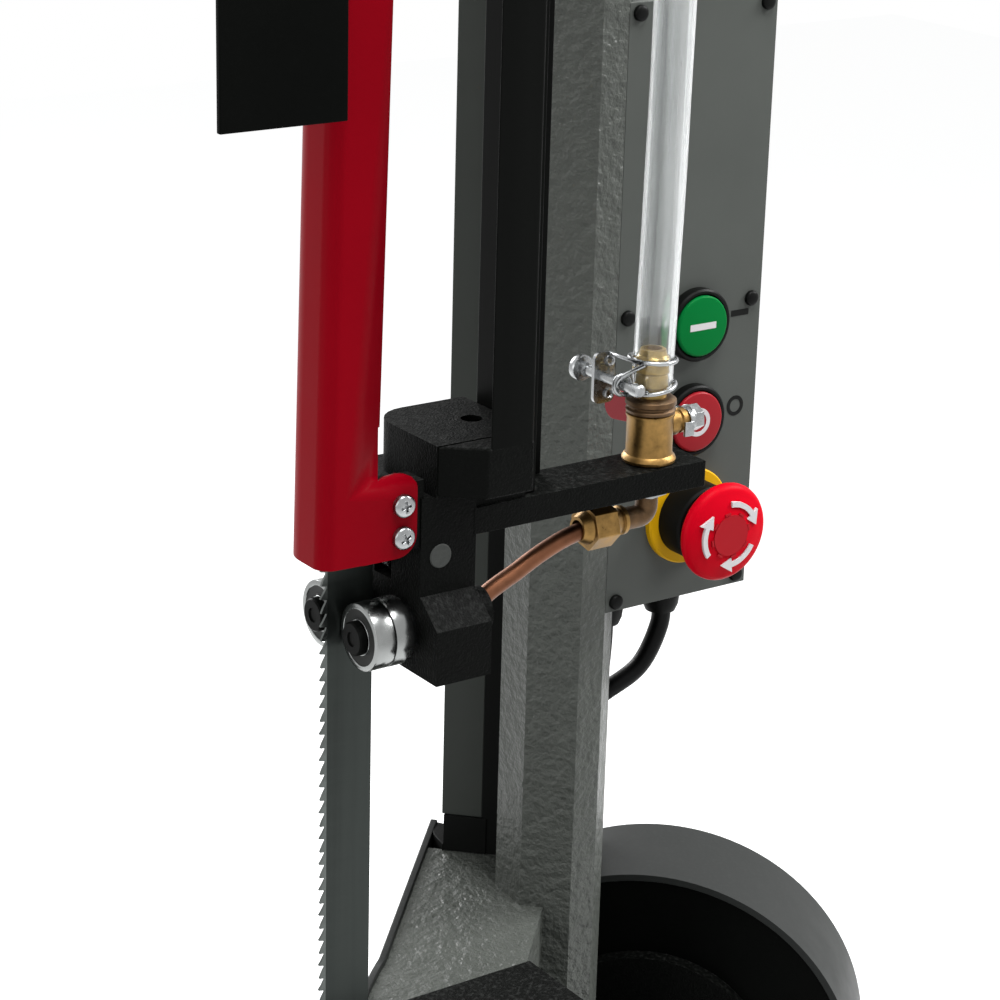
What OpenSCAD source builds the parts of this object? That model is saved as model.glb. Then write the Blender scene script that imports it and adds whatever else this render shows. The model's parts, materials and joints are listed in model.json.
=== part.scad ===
// Mitre band saw for metal, with its bow raised upright on a sheet steel stand.
// The bow parts are placed from the band, where it passes the upper guide rollers.
// Inside wheel_at(), x runs from the band towards the bow's back, and y is the wheels' axle.

/* [Band] */
// Width of the saw band, tooth tip to back
band_w = 19; // [16:1:22]
// Thickness of the saw band
band_t = 0.9; // [0.6:0.05:1.1]
// Angle of the wheels to the cut, which the band twists through
twist = 45; // [44:0.5:46]

/* [Wheels] */
// Diameter of both band wheels
wheel_d = 240; // [234:1:246]
// Width of the wheels' rims
wheel_w = 25; // [23:1:28]
// Distance between the two wheel centres
wheel_span = 800; // [790:5:860]
// Depth of the wheel rim, from its tread inwards
rim_depth = 12; // [8:1:16]
// Thickness of the wheel's web
web_t = 7; // [5:1:10]
// Diameter of the wheel's hub
hub_d = 56; // [50:1:64]
// Diameter of the driving shaft and of the idler's axle
axle_d = 20; // [16:1:24]

/* [Bow] */
// Free space round the wheels inside their housings
housing_gap = 17; // [14:1:22]
// Wall of the cast wheel housings
housing_wall = 8; // [6:1:10]
// Depth of the cast housings, wall to cover
housing_depth = 54; // [50:1:60]
// Back wall of the lower housing
drive_wall = 15; // [12:1:16]
// Back wall of the upper housing
idler_wall = 8; // [6:1:10]
// Width of the bow's spine across the wheel plane
spine_w = 41; // [36:1:46]
// Depth of the bow's spine along the wheel plane
spine_d = 49.5; // [46:0.5:54]
// Thickness of the sheet covers
cover_t = 3; // [2:0.5:4]
// Height of the pivot boss under the lower housing
lug_drop = 45; // [42:1:60]
// Diameter of the pivot shaft
pivot_d = 30; // [24:1:34]
// Length of the pivot boss along the shaft
lug_len = 110; // [90:2:120]

/* [Guides] */
// Outer diameter of a guide roller bearing
roller_d = 22; // [19:0.5:24]
// Bore of a guide roller bearing
roller_bore = 8; // [6:0.5:9]
// Width of one guide roller bearing
roller_w = 7; // [6:0.5:8]
// Height of the upper guide rollers over the lower wheel centre
guide_z = 345; // [335:1:355]
// Distance between the upper and the lower guide rollers
guide_gap = 172; // [166:1:176]
// Width of a guide block along the band's width
block_w = 20.5; // [18:0.5:22]
// Travel of the upper guide, upwards
guide_travel = 80; // [60:5:80]
// Width of the guide bar's blade
bar_w = 27; // [22:1:30]
// Thickness of the guide bar's blade
bar_t = 5; // [4:0.5:7]
// Length of the guide bar
bar_len = 400; // [380:5:430]
// Length of the sheet guard over the band
guard_len = 210; // [150:5:215]
// Width of the guard across the band's flat
guard_w = 26; // [25:0.5:29]

/* [Coolant] */
// Outer diameter of the clear coolant hose
hose_d = 13.6; // [12.8:0.2:14.4]
// Wall of the clear coolant hose
hose_wall = 1.2; // [1:0.1:1.6]
// Height of the hose's straight rise over the coolant arm
hose_rise = 310; // [290:5:325]
// Outer diameter of the copper pipe
pipe_d = 6; // [5:0.5:8]
// Width of the coolant arm
arm_w = 20.5; // [18:0.5:23]
// Thickness of the coolant arm
arm_t = 8.8; // [7:0.2:10]

/* [Controls] */
// Width of the control panel
panel_w = 70; // [66:1:80]
// Height of the control panel
panel_h = 237; // [225:1:245]
// Depth of the control box behind its panel
box_depth = 50; // [45:1:56]
// Wall of the control box
box_wall = 3; // [2:0.5:4]
// Diameter of the start and stop buttons
button_d = 24; // [22:0.5:28]
// Travel of a push button
button_travel = 3; // [2:0.5:4]
// Diameter of the emergency stop's head
estop_d = 39; // [36:1:42]

/* [Motor] */
// Diameter of the drum shaped motor
drum_d = 184; // [176:1:188]
// Length of the motor's drum
drum_len = 50; // [44:1:60]
// Distance between the worm's axis and the driving shaft's
worm_drop = 36; // [34:0.5:40]

/* [Base] */
// Height of the stand's cabinet
stand_h = 540; // [480:10:640]
// Length of the stand's cabinet
stand_l = 760; // [740:10:820]
// Depth of the stand's cabinet
stand_w = 400; // [380:10:460]
// Sheet thickness of the stand
sheet_t = 2; // [1.5:0.25:3]
// Height of the feet under the cabinet
foot_h = 20; // [16:1:30]
// Height of the base casting
base_h = 87; // [70:1:100]
// Thickness of the swivelling arm
swivel_t = 29.7; // [24:0.3:36]
// Thickness of the work table
table_t = 30; // [24:1:36]
// Length of the table's rail to the left of the mitre centre
rail_len = 285; // [270:5:288]
// Distance from the mitre centre to the bow's pivot
throat = 400; // [395:5:430]
// Height of the vise jaws
jaw_h = 55; // [40:1:56]
// Length of the vise jaws along the work
jaw_len = 80; // [60:2:90]
// Opening of the vise at rest
vise_open = 100; // [60:5:120]

/* [Hidden] */
$fn = 64;
run_gap = 0.3;                 // between pieces that move on each other
fit = 0.05;                    // radial play of a shaft in its bore
eps = 0.01;

// The band, where it passes the guides: rollers' axes at x, with the band's flat at y
roller_r = roller_d / 2;
band_y0 = roller_r + run_gap;
band_y = band_y0 + band_t / 2;
tip_x = -7;
band_x = tip_x + band_w / 2;
back_x = tip_x + band_w;

// The wheel plane, in wheel_at() coordinates
wheel_r = wheel_d / 2;
band_u = band_x * cos(twist) + band_y * sin(twist);
wheel_y = band_y * cos(twist) - band_x * sin(twist);
band_r = wheel_r + run_gap + band_t / 2;
wheel_u = band_u + band_r;
low_z = -guide_z;
high_z = low_z + wheel_span;
housing_r = wheel_r + housing_gap + housing_wall;
cavity_y0 = wheel_y - wheel_w / 2 - 9;
cover_y = cavity_y0 + housing_depth - drive_wall;
shoulder_z = housing_r + 11;
rib_z = 70;                    // where the spine's rib on a housing ends
spine_u0 = 203.6;
spine_u1 = spine_u0 + spine_d;
spine_y1 = -8.2;
spine_y0 = spine_y1 - spine_w;
spine_chamfer = 12.2;
spine_bevel = 19.3;
return_u = wheel_u + band_r;

// The pivot and the heights under it
pivot_bx = 90;
pivot_by = 95;
pivot_z = low_z - housing_r - lug_drop;
slot_depth = 2;
table_z = foot_h + stand_h + 3 + base_h + swivel_t + 10.3 + table_t;
table_drop = pivot_bx - tip_x - slot_depth;
tray_z = foot_h + stand_h;
base_z = tray_z + 3;
swivel_z = base_z + base_h + run_gap;
bow_z = table_z + table_drop - pivot_z;
pivot_x = stand_l / 2 - 80;
mitre_x = pivot_x - throat;
mitre_y = -40;
bow_x = pivot_x - pivot_bx;
bow_y = mitre_y - band_y;
pivot_top = table_z + table_drop;

// The upper guide
block_x0 = 16;
block_x1 = block_x0 + block_w;
thrust_x = back_x + run_gap + roller_r;
thrust_z = 26;
arm_y0 = -10;
arm_z1 = 39.4;
arm_z0 = arm_z1 - arm_t;
arm_x1 = 128;
head_top = 62.8;
bar_x = 56;
bar_y0 = -7;
bar_web_x = 17;
bar_web_y = 7;
low_guide_z = -guide_gap;
low_top = low_guide_z + 15.5;
valve_x = 111.5;
valve_y = 0;
pin_d = roller_bore - 2 * fit;
low_thrust_z = low_guide_z - thrust_z;
hose_bore = hose_d - 2 * hose_wall;
guard_z0 = 28.5;
guard_y0 = -11;
guard_x0 = -20;
roller_x1 = 2 * roller_w + 0.2;

// The panel
panel_x0 = 184.4;
panel_y = 115;
panel_z0 = -69.5;
button_x = 222;
start_z = 42.5;
stop_z = 4.2;
estop_z = -35;
panel_hole = 22.4;
head_y = panel_y - button_travel - 2.5;

// The drive
worm_y = -66;
worm_z = low_z + worm_drop;
drum_u = wheel_u + housing_r + 8;
gear_y0 = -105;
gear_y1 = cavity_y0 - drive_wall - run_gap;
drum_r = drum_d / 2;

// Frames of reference
module bow_at() { translate([bow_x, bow_y, bow_z]) children(); }
module wheel_at() { bow_at() rotate([0, 0, twist]) children(); }
module mitre_at() { translate([mitre_x, mitre_y, 0]) children(); }

// Basic shapes
module block(a, b) { translate(a) cube([b.x - a.x, b.y - a.y, b.z - a.z]); }
module rod_x(p, len, d) { translate(p) rotate([0, 90, 0]) cylinder(h = len, d = d); }
module rod_y(p, len, d) { translate(p) rotate([-90, 0, 0]) cylinder(h = len, d = d); }
module rod_z(p, len, d) { translate(p) cylinder(h = len, d = d); }
module slab(y0, y1) { translate([0, y1, 0]) rotate([90, 0, 0]) linear_extrude(y1 - y0) children(); }

// A round tube along points that a smooth curve passes through, with up as its reference direction
tube_sides = 12;
tube_steps = 3;
function unit(v) = v / norm(v);
function spline(a, b, c, d, t) = 0.5 * (2 * b + (c - a) * t + (2 * a - 5 * b + 4 * c - d) * t * t
    + (3 * b - a - 3 * c + d) * t * t * t);
function smooth_path(p) = let (n = len(p)) concat(
    [for (i = [0:n - 2]) for (k = [0:tube_steps - 1])
        spline(p[max(i - 1, 0)], p[i], p[i + 1], p[min(i + 2, n - 1)], k / tube_steps)],
    [p[n - 1]]);
module tube(points, d, up) {
    path = smooth_path(points);
    n = len(path);
    ways = [for (i = [0:n - 1]) i == 0 ? unit(points[1] - points[0])
        : i == n - 1 ? unit(path[n - 1] - path[n - 2]) : unit(path[i + 1] - path[i - 1])];
    rings = [for (i = [0:n - 1]) let (s = unit(cross(ways[i], up)), t = cross(ways[i], s))
        for (k = [0:tube_sides - 1]) let (a = 360 * k / tube_sides)
            path[i] + d / 2 * (cos(a) * s + sin(a) * t)];
    sides = [for (i = [0:n - 2]) for (k = [0:tube_sides - 1]) let (
        a = i * tube_sides + k, b = i * tube_sides + (k + 1) % tube_sides)
        each [[a, a + tube_sides, b + tube_sides], [a, b + tube_sides, b]]];
    caps = [[for (k = [0:tube_sides - 1]) k],
        [for (k = [tube_sides - 1:-1:0]) (n - 1) * tube_sides + k]];
    polyhedron(points = rings, faces = concat(sides, caps));
}

// Outline of a wheel housing about its wheel's centre, +y towards the other wheel
module housing_2d(inset = 0) {
    r = housing_r - inset;
    circle(r, $fn = 128);
    polygon([[-r, 0], [-r, shoulder_z - 70 - inset], [-r + 44, shoulder_z - 30 - inset],
        [spine_u1 - wheel_u - inset, shoulder_z - inset], [r, 30]]);
}
module spine_2d() {
    polygon([[spine_u0, spine_y1 - spine_chamfer], [spine_u0, spine_y0 + spine_chamfer - 4],
        [spine_u0 + 8, spine_y0], [spine_u1 - spine_bevel, spine_y0], [spine_u1, spine_y0 + spine_bevel],
        [spine_u1, spine_y1 - 7], [spine_u1 - 13, spine_y1], [spine_u0 + spine_chamfer, spine_y1]]);
}
module at_low() { translate([wheel_u, 0, low_z]) children(); }
module at_high() { translate([wheel_u, 0, high_z]) mirror([0, 0, 1]) children(); }

// The cast bow: two open wheel housings, the spine between them and the pivot boss
module bow_frame() color("#5f615c") difference() {
    union() {
        wheel_at() {
            at_low() slab(cavity_y0 - drive_wall, cover_y) housing_2d();
            at_high() slab(cavity_y0 - idler_wall, cover_y) housing_2d();
            translate([0, 0, low_z + rib_z])
                linear_extrude(wheel_span - 2 * rib_z) spine_2d();
            block([wheel_u - 50, cavity_y0 - drive_wall, pivot_z - 20],
                [wheel_u + 40, cover_y, low_z - housing_r + 20]);
        }
        bow_at() {
            block([pivot_bx - 30, pivot_by - lug_len / 2, pivot_z],
                [pivot_bx + 30, pivot_by + lug_len / 2, low_z - housing_r - 3]);
            rod_y([pivot_bx, pivot_by - lug_len / 2, pivot_z], lug_len, 60);
        }
    }
    wheel_at() {
        at_low() slab(cavity_y0, cover_y + 1) housing_2d(housing_wall);
        at_high() slab(cavity_y0, cover_y + 1) housing_2d(housing_wall);
        // the band's ways in and out
        for (u = [band_u, return_u])
            block([u - 15, wheel_y - 12, low_z + 60], [u + 15, cover_y + 1, high_z - 60]);
        // shaft hole, and the slot that the idler's carriage slides in
        rod_y([wheel_u, cavity_y0 - drive_wall - 1, low_z], drive_wall + 2, axle_d + 20);
        block([wheel_u - 25 - run_gap, cavity_y0 - idler_wall - 1, high_z - 62],
            [wheel_u + 25 + run_gap, cavity_y0 + 1, high_z + 42]);
    }
    bow_at() {
        rod_y([pivot_bx, pivot_by - lug_len, pivot_z], 2 * lug_len, pivot_d + 2 * fit);
        // room round the pivot shaft's ears
        for (s = [-1, 1])
            translate([pivot_bx, pivot_by + s * (lug_len / 2 + 20), pivot_z])
                cube([90, 40, 90], center = true);
    }
}

// The sheet channel over the band's return run
cover_z0 = low_z + shoulder_z + 14;
cover_z1 = high_z - shoulder_z - 14;
cover_u0 = return_u - 15;
cover_u1 = return_u + 16;
cover_y0 = 1.7;
cover_side = wheel_y + band_w / 2 + 0.6;
module cover_2d(t) {
    polygon([[cover_u0, cover_y0], [cover_u0, cover_side + t], [cover_u1 + t, cover_side + t],
        [cover_u1 + t, spine_y1 - 12], [spine_u1 + eps, spine_y1 - 12], [spine_u1 + eps, spine_y1 - 12 + t],
        [cover_u1, spine_y1 - 12 + t], [cover_u1, cover_side], [cover_u0 + t, cover_side],
        [cover_u0 + t, cover_y0]]);
}
module band_cover() color("#4c4f4b") wheel_at()
    translate([0, 0, cover_z0]) linear_extrude(cover_z1 - cover_z0) cover_2d(sheet_t);
// A rubber strip between the cover and the spine, and a boot at either end of the cover
module band_seals() color("#1b1c1b") wheel_at() {
    strip_z0 = low_z + shoulder_z - 2;
    strip_len = wheel_span - 2 * shoulder_z + 4;
    difference() {
        translate([0, 0, strip_z0]) linear_extrude(strip_len)
            translate([cover_u0 - 0.5, spine_y1 + run_gap]) square([4, cover_y0 - eps - spine_y1 - run_gap]);
        housing_keep_out();
    }
    for (z = [[strip_z0, cover_z0 - eps], [cover_z1 + eps, strip_z0 + strip_len]])
        difference() {
            translate([0, 0, z[0]]) linear_extrude(z[1] - z[0]) difference() {
                translate([cover_u0 - 1, cover_y0 - 2]) square([cover_u1 - cover_u0 + 1, cover_side + 3 - cover_y0]);
                translate([cover_u0 + 4, -30]) square([cover_u1 - cover_u0 - 8, 30 + cover_side]);
            }
            housing_keep_out();
        }
}
module housing_keep_out() {
    at_low() slab(cavity_y0 - 20, cover_y + cover_t) housing_2d(-0.3);
    at_high() slab(cavity_y0 - 20, cover_y + cover_t) housing_2d(-0.3);
}
module wheel_cover() {
    slab(cover_y + eps, cover_y + cover_t) housing_2d(-2);
    for (p = [[-100, -100], [100, -100], [-118, 70], [120, 90]])
        rod_y([p.x, cover_y + cover_t, p.y], 9, 22);
}
module lower_wheel_cover() color("#222322") wheel_at() at_low() wheel_cover();
module upper_wheel_cover() color("#222322") wheel_at() at_high() wheel_cover();

// The band: straight and twisting past the guides, round both wheels, and back
wheel_steps = 32;
twist_z0 = guard_z0 + guard_len + guide_travel + 3;
function smooth(t) = t <= 0 ? 0 : t >= 1 ? 1 : t * t * (3 - 2 * t);
twist_z1 = low_thrust_z - 15;
function turn_at(z) = z > 0 ? smooth((z - twist_z0) / (high_z - 4 - twist_z0))
    : smooth((twist_z1 - z) / (twist_z1 - low_z - 4));
cut_zs = concat([for (i = [0:10]) low_z + (twist_z1 - low_z) * i / 10],
    [for (i = [0:12]) twist_z0 + (high_z - twist_z0) * i / 12]);
cut_rings = [for (z = cut_zs) [[band_x, band_y, z], 180 - twist * turn_at(z), [0, 0, 1]]];
function wheel_point(z, a) = let (u = wheel_u - band_r * cos(a))
    [u * cos(twist) - wheel_y * sin(twist), u * sin(twist) + wheel_y * cos(twist), z + band_r * sin(a)];
function wheel_way(a) = [sin(a) * cos(twist), sin(a) * sin(twist), cos(a)];
top_rings = [for (i = [1:wheel_steps]) let (a = 180 * i / wheel_steps)
    [wheel_point(high_z, a), 180 - twist, wheel_way(a)]];
low_rings = [for (i = [0:wheel_steps - 1]) let (a = 180 + 180 * i / wheel_steps)
    [wheel_point(low_z, a), 180 - twist, wheel_way(a)]];
band_rings = concat(cut_rings, top_rings, low_rings);
function ring_points(r) = let (
    w = [cos(r[1]), sin(r[1]), 0] * band_w / 2,
    n = cross(w, r[2]) / (band_w / 2) * band_t / 2)
    [r[0] + w + n, r[0] - w + n, r[0] - w - n, r[0] + w - n];
module saw_band() color("#3d423f") bow_at() {
    count = len(band_rings);
    polyhedron(
        points = [for (r = band_rings) each ring_points(r)],
        faces = [for (i = [0:count - 1]) for (k = [0:3]) let (
            a = 4 * i + k,
            b = 4 * i + (k + 1) % 4,
            c = 4 * ((i + 1) % count) + (k + 1) % 4,
            d = 4 * ((i + 1) % count) + k)
            each [[a, b, c], [a, c, d]]]);
}

// A band wheel: tread, back flange, web with four windows, and hub
module band_wheel(bore) {
    translate([0, wheel_y - wheel_w / 2, 0]) rotate([-90, 0, 0]) difference() {
        rotate_extrude($fn = 128) polygon([[bore / 2, 0], [hub_d / 2, 0], [hub_d / 2, wheel_w / 2 - web_t / 2],
            [wheel_r - rim_depth, wheel_w / 2 - web_t / 2], [wheel_r - rim_depth, 0],
            [wheel_r + 2.5, 0], [wheel_r + 2.5, 2.5], [wheel_r, 2.5], [wheel_r, wheel_w],
            [wheel_r - rim_depth, wheel_w], [wheel_r - rim_depth, wheel_w / 2 + web_t / 2],
            [hub_d / 2, wheel_w / 2 + web_t / 2], [hub_d / 2, wheel_w], [bore / 2, wheel_w]]);
        for (a = [45:90:315])
            rotate([0, 0, a]) translate([(hub_d / 2 + wheel_r - rim_depth) / 2, 0, -1])
                cylinder(h = wheel_w + 2, d = 48);
    }
}
module drive_wheel() color("#6a6c68") wheel_at() at_low() band_wheel(axle_d);
module drive_shaft() color("#9a9c9e") wheel_at() {
    rod_y([wheel_u, gear_y0 + 9, low_z], wheel_y + wheel_w / 2 - gear_y0 - 9, axle_d - 0.02);
    rod_y([wheel_u, wheel_y + wheel_w / 2, low_z], 4, axle_d + 8);
}
module gearbox() color("#161716") wheel_at() difference() {
    union() {
        slab(gear_y0, gear_y1) translate([wheel_u, low_z]) circle(62);
        rod_x([wheel_u - 75, worm_y, worm_z], drum_u - wheel_u + 75, 56);
        rod_x([drum_u - 7, worm_y, worm_z], 7, 110);
    }
    rod_y([wheel_u, gear_y0 + 8, low_z], -gear_y0 - 8 + gear_y1 - 8, 96);
    rod_y([wheel_u, gear_y0 + 7, low_z], gear_y1 - gear_y0, axle_d + 2 * fit);
    rod_x([wheel_u - 68, worm_y, worm_z], drum_u - wheel_u + 78, 34);
}
module worm_wheel() color("#b08d4a") wheel_at() difference() {
    rod_y([wheel_u, worm_y - 8, low_z], 16, 2 * (worm_drop - 8 - run_gap));
    rod_y([wheel_u, worm_y - 9, low_z], 18, axle_d - 0.02);
}
module worm_shaft() color("#8d8f90") wheel_at() {
    rod_x([wheel_u - 60, worm_y, worm_z], 110, 16);
    rod_x([wheel_u + 49, worm_y, worm_z], drum_u - wheel_u - 30, 14);
}

// The short drum shaped motor, the black plate in its near end, and its fan cover
lip_t = 3;
terminal_u = drum_u + drum_len / 2;
terminal_y = worm_y + 54;
terminal_z = worm_z + drum_r + 16;
module motor_adapter() color("#141514") wheel_at() difference() {
    rod_x([drum_u + eps, worm_y, worm_z], 8, drum_d - 2 * lip_t - 2 * fit);
    rod_x([drum_u - 1, worm_y, worm_z], 12, 40);
}
module motor() color("#4a4d4a") wheel_at() {
    difference() {
        union() {
            rod_x([drum_u - 1, worm_y, worm_z], drum_len + 1, drum_d);
            block([terminal_u - 20, terminal_y - 17, worm_z + drum_r / 2], [terminal_u + 20, terminal_y + 17, terminal_z]);
        }
        rod_x([drum_u - 2, worm_y, worm_z], 10 + 2 * eps, drum_d - 2 * lip_t);
        rod_x([drum_u, worm_y, worm_z], 30, 40);
    }
}
fan_d = drum_d - 38;
fan_len = 32;
module fan_cover() color("#2a2b2a") wheel_at() difference() {
    rod_x([drum_u + drum_len + eps, worm_y, worm_z], fan_len, fan_d);
    rod_x([drum_u + drum_len - 1, worm_y, worm_z], fan_len - 1, fan_d - 6);
    for (r = [18, 34, 50]) for (a = [0:30:330])
        translate([drum_u + drum_len + fan_len - 10, worm_y, worm_z]) rotate([a, 0, 0])
            translate([0, 0, r]) rotate([0, 90, 0]) cylinder(h = 20, d = 7, $fn = 16);
}

// The upper wheel: it runs on bearings on an axle in a carriage that a screw pulls up
idler_seat = axle_d + 22;
module idler_wheel() color("#6a6c68") wheel_at() translate([wheel_u, 0, high_z]) band_wheel(idler_seat);
module idler_bearings() color("#b9bcbe") wheel_at() difference() {
    rod_y([wheel_u, wheel_y - wheel_w / 2, high_z], wheel_w, idler_seat - 0.02);
    rod_y([wheel_u, wheel_y - wheel_w / 2 - 1, high_z], wheel_w + 2, axle_d + 2 * fit);
}
screw_y = cavity_y0 - idler_wall - 9;
carriage_y0 = screw_y - 9;
module tension_carriage() color("#2c2d2c") wheel_at() difference() {
    union() {
        block([wheel_u - 25, cavity_y0 - idler_wall - 1, high_z - 40],
            [wheel_u + 25, cavity_y0 - run_gap, high_z + 40]);
        block([wheel_u - 35, carriage_y0, high_z - 40],
            [wheel_u + 35, cavity_y0 - idler_wall - run_gap, high_z + 40]);
        rod_y([wheel_u, carriage_y0, high_z], wheel_y + wheel_w / 2 + 4 - carriage_y0, axle_d);
        rod_y([wheel_u, carriage_y0, high_z], wheel_y - wheel_w / 2 - run_gap - carriage_y0, axle_d + 12);
    }
    rod_z([wheel_u, screw_y, high_z + 18], 30, 12.6);
}
module tension_rails() color("#3a3b3a") wheel_at() {
    y1 = cavity_y0 - idler_wall - eps;
    for (s = [-1, 1])
        translate([wheel_u + s * (35 + run_gap + 6), 0, 0])
            block([-6, carriage_y0 - 4, high_z - 75], [6, y1, high_z + 95]);
    difference() {
        block([wheel_u - 47, carriage_y0 - 4, high_z + 95], [wheel_u + 47, y1, high_z + 107]);
        rod_z([wheel_u, screw_y, high_z + 90], 20, 12.6);
    }
}
module tension_screw() color("#202120") wheel_at() {
    z = high_z + housing_r + 14;
    rod_z([wheel_u, screw_y, high_z + 24], z - high_z - 24, 12);
    rod_z([wheel_u, screw_y, high_z + 107 + run_gap], 8, 17);
    rod_z([wheel_u, screw_y, z], 16, 44);
    for (a = [0:60:300])
        translate([wheel_u, screw_y, z]) rotate([0, 0, a]) rod_z([26, 0, 0], 16, 16);
}

// The upper guide: a bar that slides in a bracket, and the block that carries the rollers
module bar_2d() {
    translate([bar_x, bar_y0]) square([bar_t, bar_w]);
    translate([bar_x, bar_y0 + bar_w - 13]) square([bar_web_x, 13]);
}
module guide_bar() color("#161716") bow_at()
    translate([0, 0, arm_z1 + eps]) linear_extrude(bar_len) bar_2d();
module guide_head() {
    difference() {
        union() {
            // foot with shoulders on both flats of the band
            translate([block_x0, 0, 0]) rotate([90, 0, 90]) linear_extrude(block_w)
                polygon([[-20, -13], [43, -13], [43, 5], [33, 13.5], [33, 46], [arm_y0, 46],
                    [arm_y0, 13.5], [-20, 5]]);
            // head that the bar stands on
            translate([0, 0, 46 - eps]) linear_extrude(head_top - 46)
                polygon(concat([[20, -12]], [for (a = [180:-15:90]) [32 + 12 * cos(a), 15 + 12 * sin(a)]],
                    [[bar_x - run_gap, 27], [bar_x - run_gap, -12]]));
            block([block_x1 - 1, -9, arm_z0], [bar_x - run_gap, 20, 47]);
            // lug behind the guard's tab, and the boss that the copper pipe enters
            block([4, guard_y0 + guard_t + eps, 30], [block_x0 + 1, 0, 52]);
            rod_x([block_x1 - 1, -2, 1.5], 9, 15);
        }
        for (z = screw_zs)
            rod_y([screw_x, guard_y0, z], 20, 4.3);
        rod_x([block_x1 + 1, -2, 1.5], 12, pipe_d + 0.4);
        rod_z([45, 6.3, 40], 30, 7);
        block([block_x0 - 1, band_y - 5, thrust_z - roller_r - 1],
            [block_x1 - 2, band_y + 5, thrust_z + roller_r + 1]);
        for (y = [0, 2 * band_y])
            rod_x([block_x0 - 1, y, 0], block_w + 2, pin_d);
        rod_y([thrust_x, arm_y0 - 1, thrust_z], 60, pin_d);
        block([block_x1 - 1, arm_y0 - 1, arm_z0 - eps], [arm_x1, arm_y0 + arm_w + eps, arm_z1 + eps]);
    }
}
module guide_block() color("#1c1d1c") bow_at() guide_head();
module coolant_arm() color("#141514") bow_at() difference() {
    block([block_x1 - 1 + eps, arm_y0, arm_z0], [arm_x1, arm_y0 + arm_w, arm_z1]);
    rod_z([valve_x, valve_y, arm_z0 - 1], arm_t + 2, 9);
}
module roller_pair() {
    for (i = [0, 1])
        translate([i * (roller_w + 0.2), 0, 0]) rotate([0, 90, 0])
            rotate_extrude() polygon([[roller_bore / 2, 0], [roller_bore / 2 + 2, 0],
                [roller_bore / 2 + 2, 0.5], [roller_r - 2, 0.5], [roller_r - 2, 0], [roller_r - 0.4, 0],
                [roller_r, 0.4], [roller_r, roller_w - 0.4], [roller_r - 0.4, roller_w],
                [roller_bore / 2, roller_w]]);
}
module front_rollers() color("#b9bcbe") bow_at() roller_pair();
module rear_rollers() color("#b9bcbe") bow_at() translate([0, 2 * band_y, 0]) roller_pair();
module thrust_bearing(z) difference() {
    rod_y([thrust_x, band_y - roller_w / 2, z], roller_w, roller_d);
    rod_y([thrust_x, band_y - roller_w / 2 - 1, z], roller_w + 2, roller_bore);
}
module thrust_roller() color("#b9bcbe") bow_at() thrust_bearing(thrust_z);
module pins_at(z) {
    for (y = [0, 2 * band_y]) {
        rod_x([-1.6, y, z], block_x1 + 1.6, pin_d);
        rod_x([roller_x1 + run_gap, y, z], block_x0 - roller_x1 - run_gap, roller_bore + 5);
        rod_x([-2.8, y, z], 2.5, 11);
    }
}
module roller_pins() color("#2a2b2b") bow_at() {
    pins_at(0);
    rod_y([thrust_x, arm_y0 - 0.4, thrust_z], 43.8, pin_d);
}

// The red sheet guard over the band, and its two screws
guard_x1 = -0.8;
guard_r = 5;
guard_back_r = 13;
guard_t = 1.5;
guard_lean = 1.35;
tab_x1 = 13.8;
tab_z1 = 57;
tab_r = 7;
screw_x = 8.8;
screw_zs = [34.6, 45.9];
module guard_2d(inset) {
    front = guard_y0 + guard_r;
    back = guard_y0 + guard_w - guard_back_r;
    translate([guard_x0 + guard_r, front]) circle(guard_r - inset);
    translate([guard_x0 + guard_back_r, back]) circle(guard_back_r - inset);
    translate([guard_x0 + inset, front]) square([guard_back_r - inset, back - front]);
    translate([guard_x0 + guard_r, guard_y0 + inset]) square([guard_back_r - guard_r, guard_w / 2]);
    translate([guard_x0 + guard_back_r, guard_y0 + inset]) square([40, guard_w - 2 * inset]);
}
module band_guard() color("#c4101c") bow_at() difference() {
    union() {
        translate([0, 0, screw_zs[1]]) rotate([0, guard_lean, 0]) translate([0, 0, guard_z0 - screw_zs[1]])
            linear_extrude(guard_len) difference() {
                guard_2d(0);
                guard_2d(guard_t);
                translate([guard_x1, guard_y0 - 1]) square([40, guard_w + 2]);
            }
        // tab that the screws hold on the guide block
        translate([0, guard_y0 + guard_t, 0]) rotate([90, 0, 0]) linear_extrude(guard_t)
            offset(r = tab_r, $fn = 32) translate([tab_r - 12, guard_z0 + tab_r])
                square([tab_x1 + 12 - 2 * tab_r, tab_z1 - guard_z0 - 2 * tab_r]);
    }
    for (z = screw_zs)
        rod_y([screw_x, guard_y0 - 5, z], 12, 4.4);
}
module guard_screws() color("#c9cbcd") bow_at() for (z = screw_zs) {
    rod_y([screw_x, guard_y0 - 2.4, z], 2.4 - eps, 7.4);
    rod_y([screw_x, guard_y0 - eps, z], 9, 4.2);
}

// The bracket on the upper housing that the guide bar slides in, and its clamp
bracket_z0 = high_z - 150;
bracket_z1 = high_z - 75;
module guide_bracket() color("#1a1b1a") difference() {
    bow_at() block([46, -20, bracket_z0], [86, 34, bracket_z1]);
    bow_at() translate([0, 0, bracket_z0 - 1]) linear_extrude(bracket_z1 - bracket_z0 + 2)
        offset(delta = run_gap) bar_2d();
    wheel_at() block([0, cavity_y0 - idler_wall, bracket_z0 - 2], [200, 90, bracket_z1 + 2]);
    bow_at() rod_y([66, -30, (bracket_z0 + bracket_z1) / 2], 30, 10.4);
}
module clamp_lever() color("#202120") bow_at() translate([66, 0, (bracket_z0 + bracket_z1) / 2]) {
    rod_y([0, -34, 0], 27, 10);
    rod_y([0, -42, 0], 14, 24);
    rotate([0, -60, 0]) rod_x([0, -36, 0], 70, 10);
    rotate([0, -60, 0]) translate([74, -36, 0]) sphere(d = 20, $fn = 32);
}
splash_z = 169;
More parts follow.
